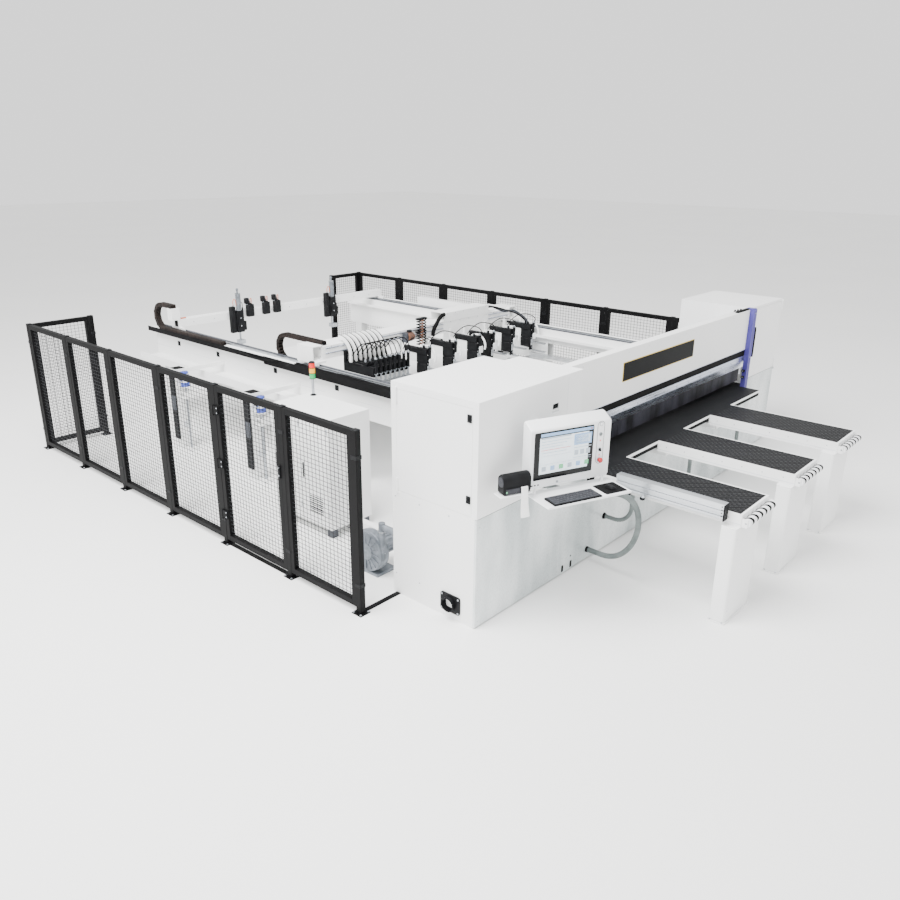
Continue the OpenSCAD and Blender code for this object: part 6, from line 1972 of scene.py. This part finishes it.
@dataclass
class SawUnit:
    """The blades with their teeth, and the motor's fins."""
    saw_y: float = 430.0
    arbor_y: float = 355.0
    motor_z: float = 435.0
    cutter: Blade = Blade("toothed_blade", "main_blade", 700.0, 775.0, 228.0, 60, 58.0, 22.0)
    scorer: Blade = Blade("scoring_disc", "scoring_blade", 1040.0, 793.0, 90.0, 28, 34.0, 18.0)

    def build(self) -> None:
        """Builds both blades and the motor's fins."""
        x, z = self.cutter.x, self.cutter.z
        m = self.disc(self.cutter)
        m.rod((x, self.arbor_y, z), (x, 456, z), 20, TURNED_STEEL, 28)
        m.lathe((x, 456, z), REARWARD, [(0, 46), (2, 50), (5, 50), (6, 48), (18, 48), (19, 50), (22, 50),
                                        (24, 46)], CAST_DARK, 36)
        self.hold(m, self.cutter)
        x, z = self.scorer.x, self.scorer.z
        m = self.disc(self.scorer)
        m.rod((x, self.arbor_y, z), (x, 414, z), 12, TURNED_STEEL, 24)
        self.hold(m, self.scorer)
        m = Maker("saw_motor_fins")
        for k in range(22):
            m.place = turned((self.cutter.x, 0, self.motor_z), math.tau * k / 22, "Y")
            m.box((93, 380, -2), (101, 440, 2), CAST_DARK, 0.8)
        m.piece("saw_lift", "motor_grey")

    def disc(self, blade: Blade) -> Maker:
        """A toothed plate between two flanges.

        Args:
            blade: The blade's sizes.

        Returns:
            The maker that holds them.
        """
        m = Maker(blade.piece)
        step = math.tau / blade.teeth
        outline = []
        for k in range(blade.teeth):
            for share, cut in ((0.0, 0.0), (0.16, 1.5), (0.42, 9.0), (0.78, 10.5)):
                a, r = math.tau * k / blade.teeth + share * step, blade.radius - cut
                outline.append((blade.z + r * math.sin(a), blade.x + r * math.cos(a)))
        m.prism(outline, 1, self.saw_y - blade.half, self.saw_y + blade.half, GROUND_STEEL, 0.4)
        r, wide = blade.flange_r, 2 * blade.flange_half
        m.lathe((blade.x, self.saw_y - blade.flange_half, blade.z), REARWARD,
                [(0, r * 0.5), (2, r * 0.9), (8, r), (wide - 8, r), (wide - 2, r * 0.9), (wide, r * 0.5)],
                TURNED_STEEL, 36)
        return m

    def hold(self, m: Maker, blade: Blade) -> None:
        """Adds the bolt that holds a blade and finishes the piece.

        Args:
            m: What disc gave.
            blade: The blade's sizes.
        """
        m.bolt((blade.x, self.saw_y - blade.flange_half, blade.z), FORWARD, 26)
        m.piece(blade.body, "blade_steel", [blade.body])


@dataclass
class Studio:
    """The camera at the photograph's angle, soft light and a plain pale floor."""
    camera_place: tuple[float, float, float] = (-4574.0, -3749.0, 3771.0)
    yaw_deg: float = 48.52
    pitch_deg: float = 20.02
    roll_deg: float = 0.57
    focal_px: float = 806.9
    image_px: float = 900.0
    sensor_mm: float = 36.0

    def build(self) -> None:
        """Builds the camera, the lights and the floor."""
        self.camera()
        self.lights()
        self.floor()

    def camera(self) -> None:
        """Places the camera from its measured turn, tilt and roll."""
        yaw, pitch, roll = (math.radians(a) for a in (self.yaw_deg, self.pitch_deg, self.roll_deg))
        ahead = Vector((math.sin(yaw) * math.cos(pitch), math.cos(yaw) * math.cos(pitch), -math.sin(pitch)))
        level = Vector((math.cos(yaw), -math.sin(yaw), 0.0))
        above = level.cross(ahead)
        right = level * math.cos(roll) + above * math.sin(roll)
        up = above * math.cos(roll) - level * math.sin(roll)
        facing = Matrix((right, up, -ahead)).transposed().to_4x4()
        data = bpy.data.cameras.new("photo_camera")
        data.sensor_width = self.sensor_mm
        data.lens = self.focal_px / self.image_px * self.sensor_mm
        data.clip_end = 200.0
        camera = linked("photo_camera", data)
        camera.matrix_world = Matrix.Translation(at(*self.camera_place)) @ facing
        bpy.context.scene.camera = camera

    def lights(self) -> None:
        """A white surround, a broad light over the machine and a softer one in front."""
        world = bpy.data.worlds.new("studio_surround")
        world.use_nodes = True
        tree = world.node_tree
        tree.nodes.clear()
        sky = add_node(tree, "ShaderNodeBackground", {"Color": linear("#FFFFFF"), "Strength": 1.5})
        add_node(tree, "ShaderNodeOutputWorld", {}, {"Surface": sky.outputs[0]})
        bpy.context.scene.world = world
        for name, spot, aim, size, power in (
                ("broad_light", (-7.0, -1.0, 10.0), (-0.5, -0.5, 0.5), 8.0, 3600.0),
                ("front_light", (3.0, -13.0, 5.0), (0.0, -2.0, 0.8), 6.0, 300.0)):
            data = bpy.data.lights.new(name, "AREA")
            data.size = size
            data.energy = power
            light = linked(name, data)
            light.location = spot
            light.rotation_mode = "QUATERNION"
            light.rotation_quaternion = (Vector(aim) - Vector(spot)).to_track_quat("-Z", "Y")

    def floor(self) -> None:
        """A plain pale floor that reaches past every view."""
        reach = 60.0
        mesh = bpy.data.meshes.new("studio_floor")
        mesh.from_pydata([(-reach, -reach, 0), (reach, -reach, 0), (reach, reach, 0), (-reach, reach, 0)], [],
                         [(0, 1, 2, 3)])
        mesh.materials.append(FLOOR.material())
        linked("studio_floor", mesh)


# Seamless studio paper, pale and matte.
FLOOR = Finish("studio_paper", "#F7F7F6", "#F3F3F2", (0.8, 0.9), 3000, 0.5, 40, 0.0)


def main() -> None:
    """Builds the studio and every sub-assembly in order."""
    logging.basicConfig(level=logging.INFO, format="%(message)s")
    Studio().build()
    ConsoleHose().build()
    AirTables().build()
    Skin().dress()
    Cabinets().build()
    Portal().build()
    Console().build()
    EnergyChain("main_chain", "gantry", 1676.0, 1235.0, 4640.0, 620.0, 740.0, 138.0).build(["cable_chains"])
    EnergyChain("feeder_chain", "feeder", 1405.0, 1325.0, 7190.0, 1500.0, 290.0, 150.0, proud=2.5).build()
    Gantry().build()
    SideFrames().build()
    Feeder().build()
    Services().build()
    GuardFences().build()
    SawUnit().build()


if __name__ == "__main__":
    main()
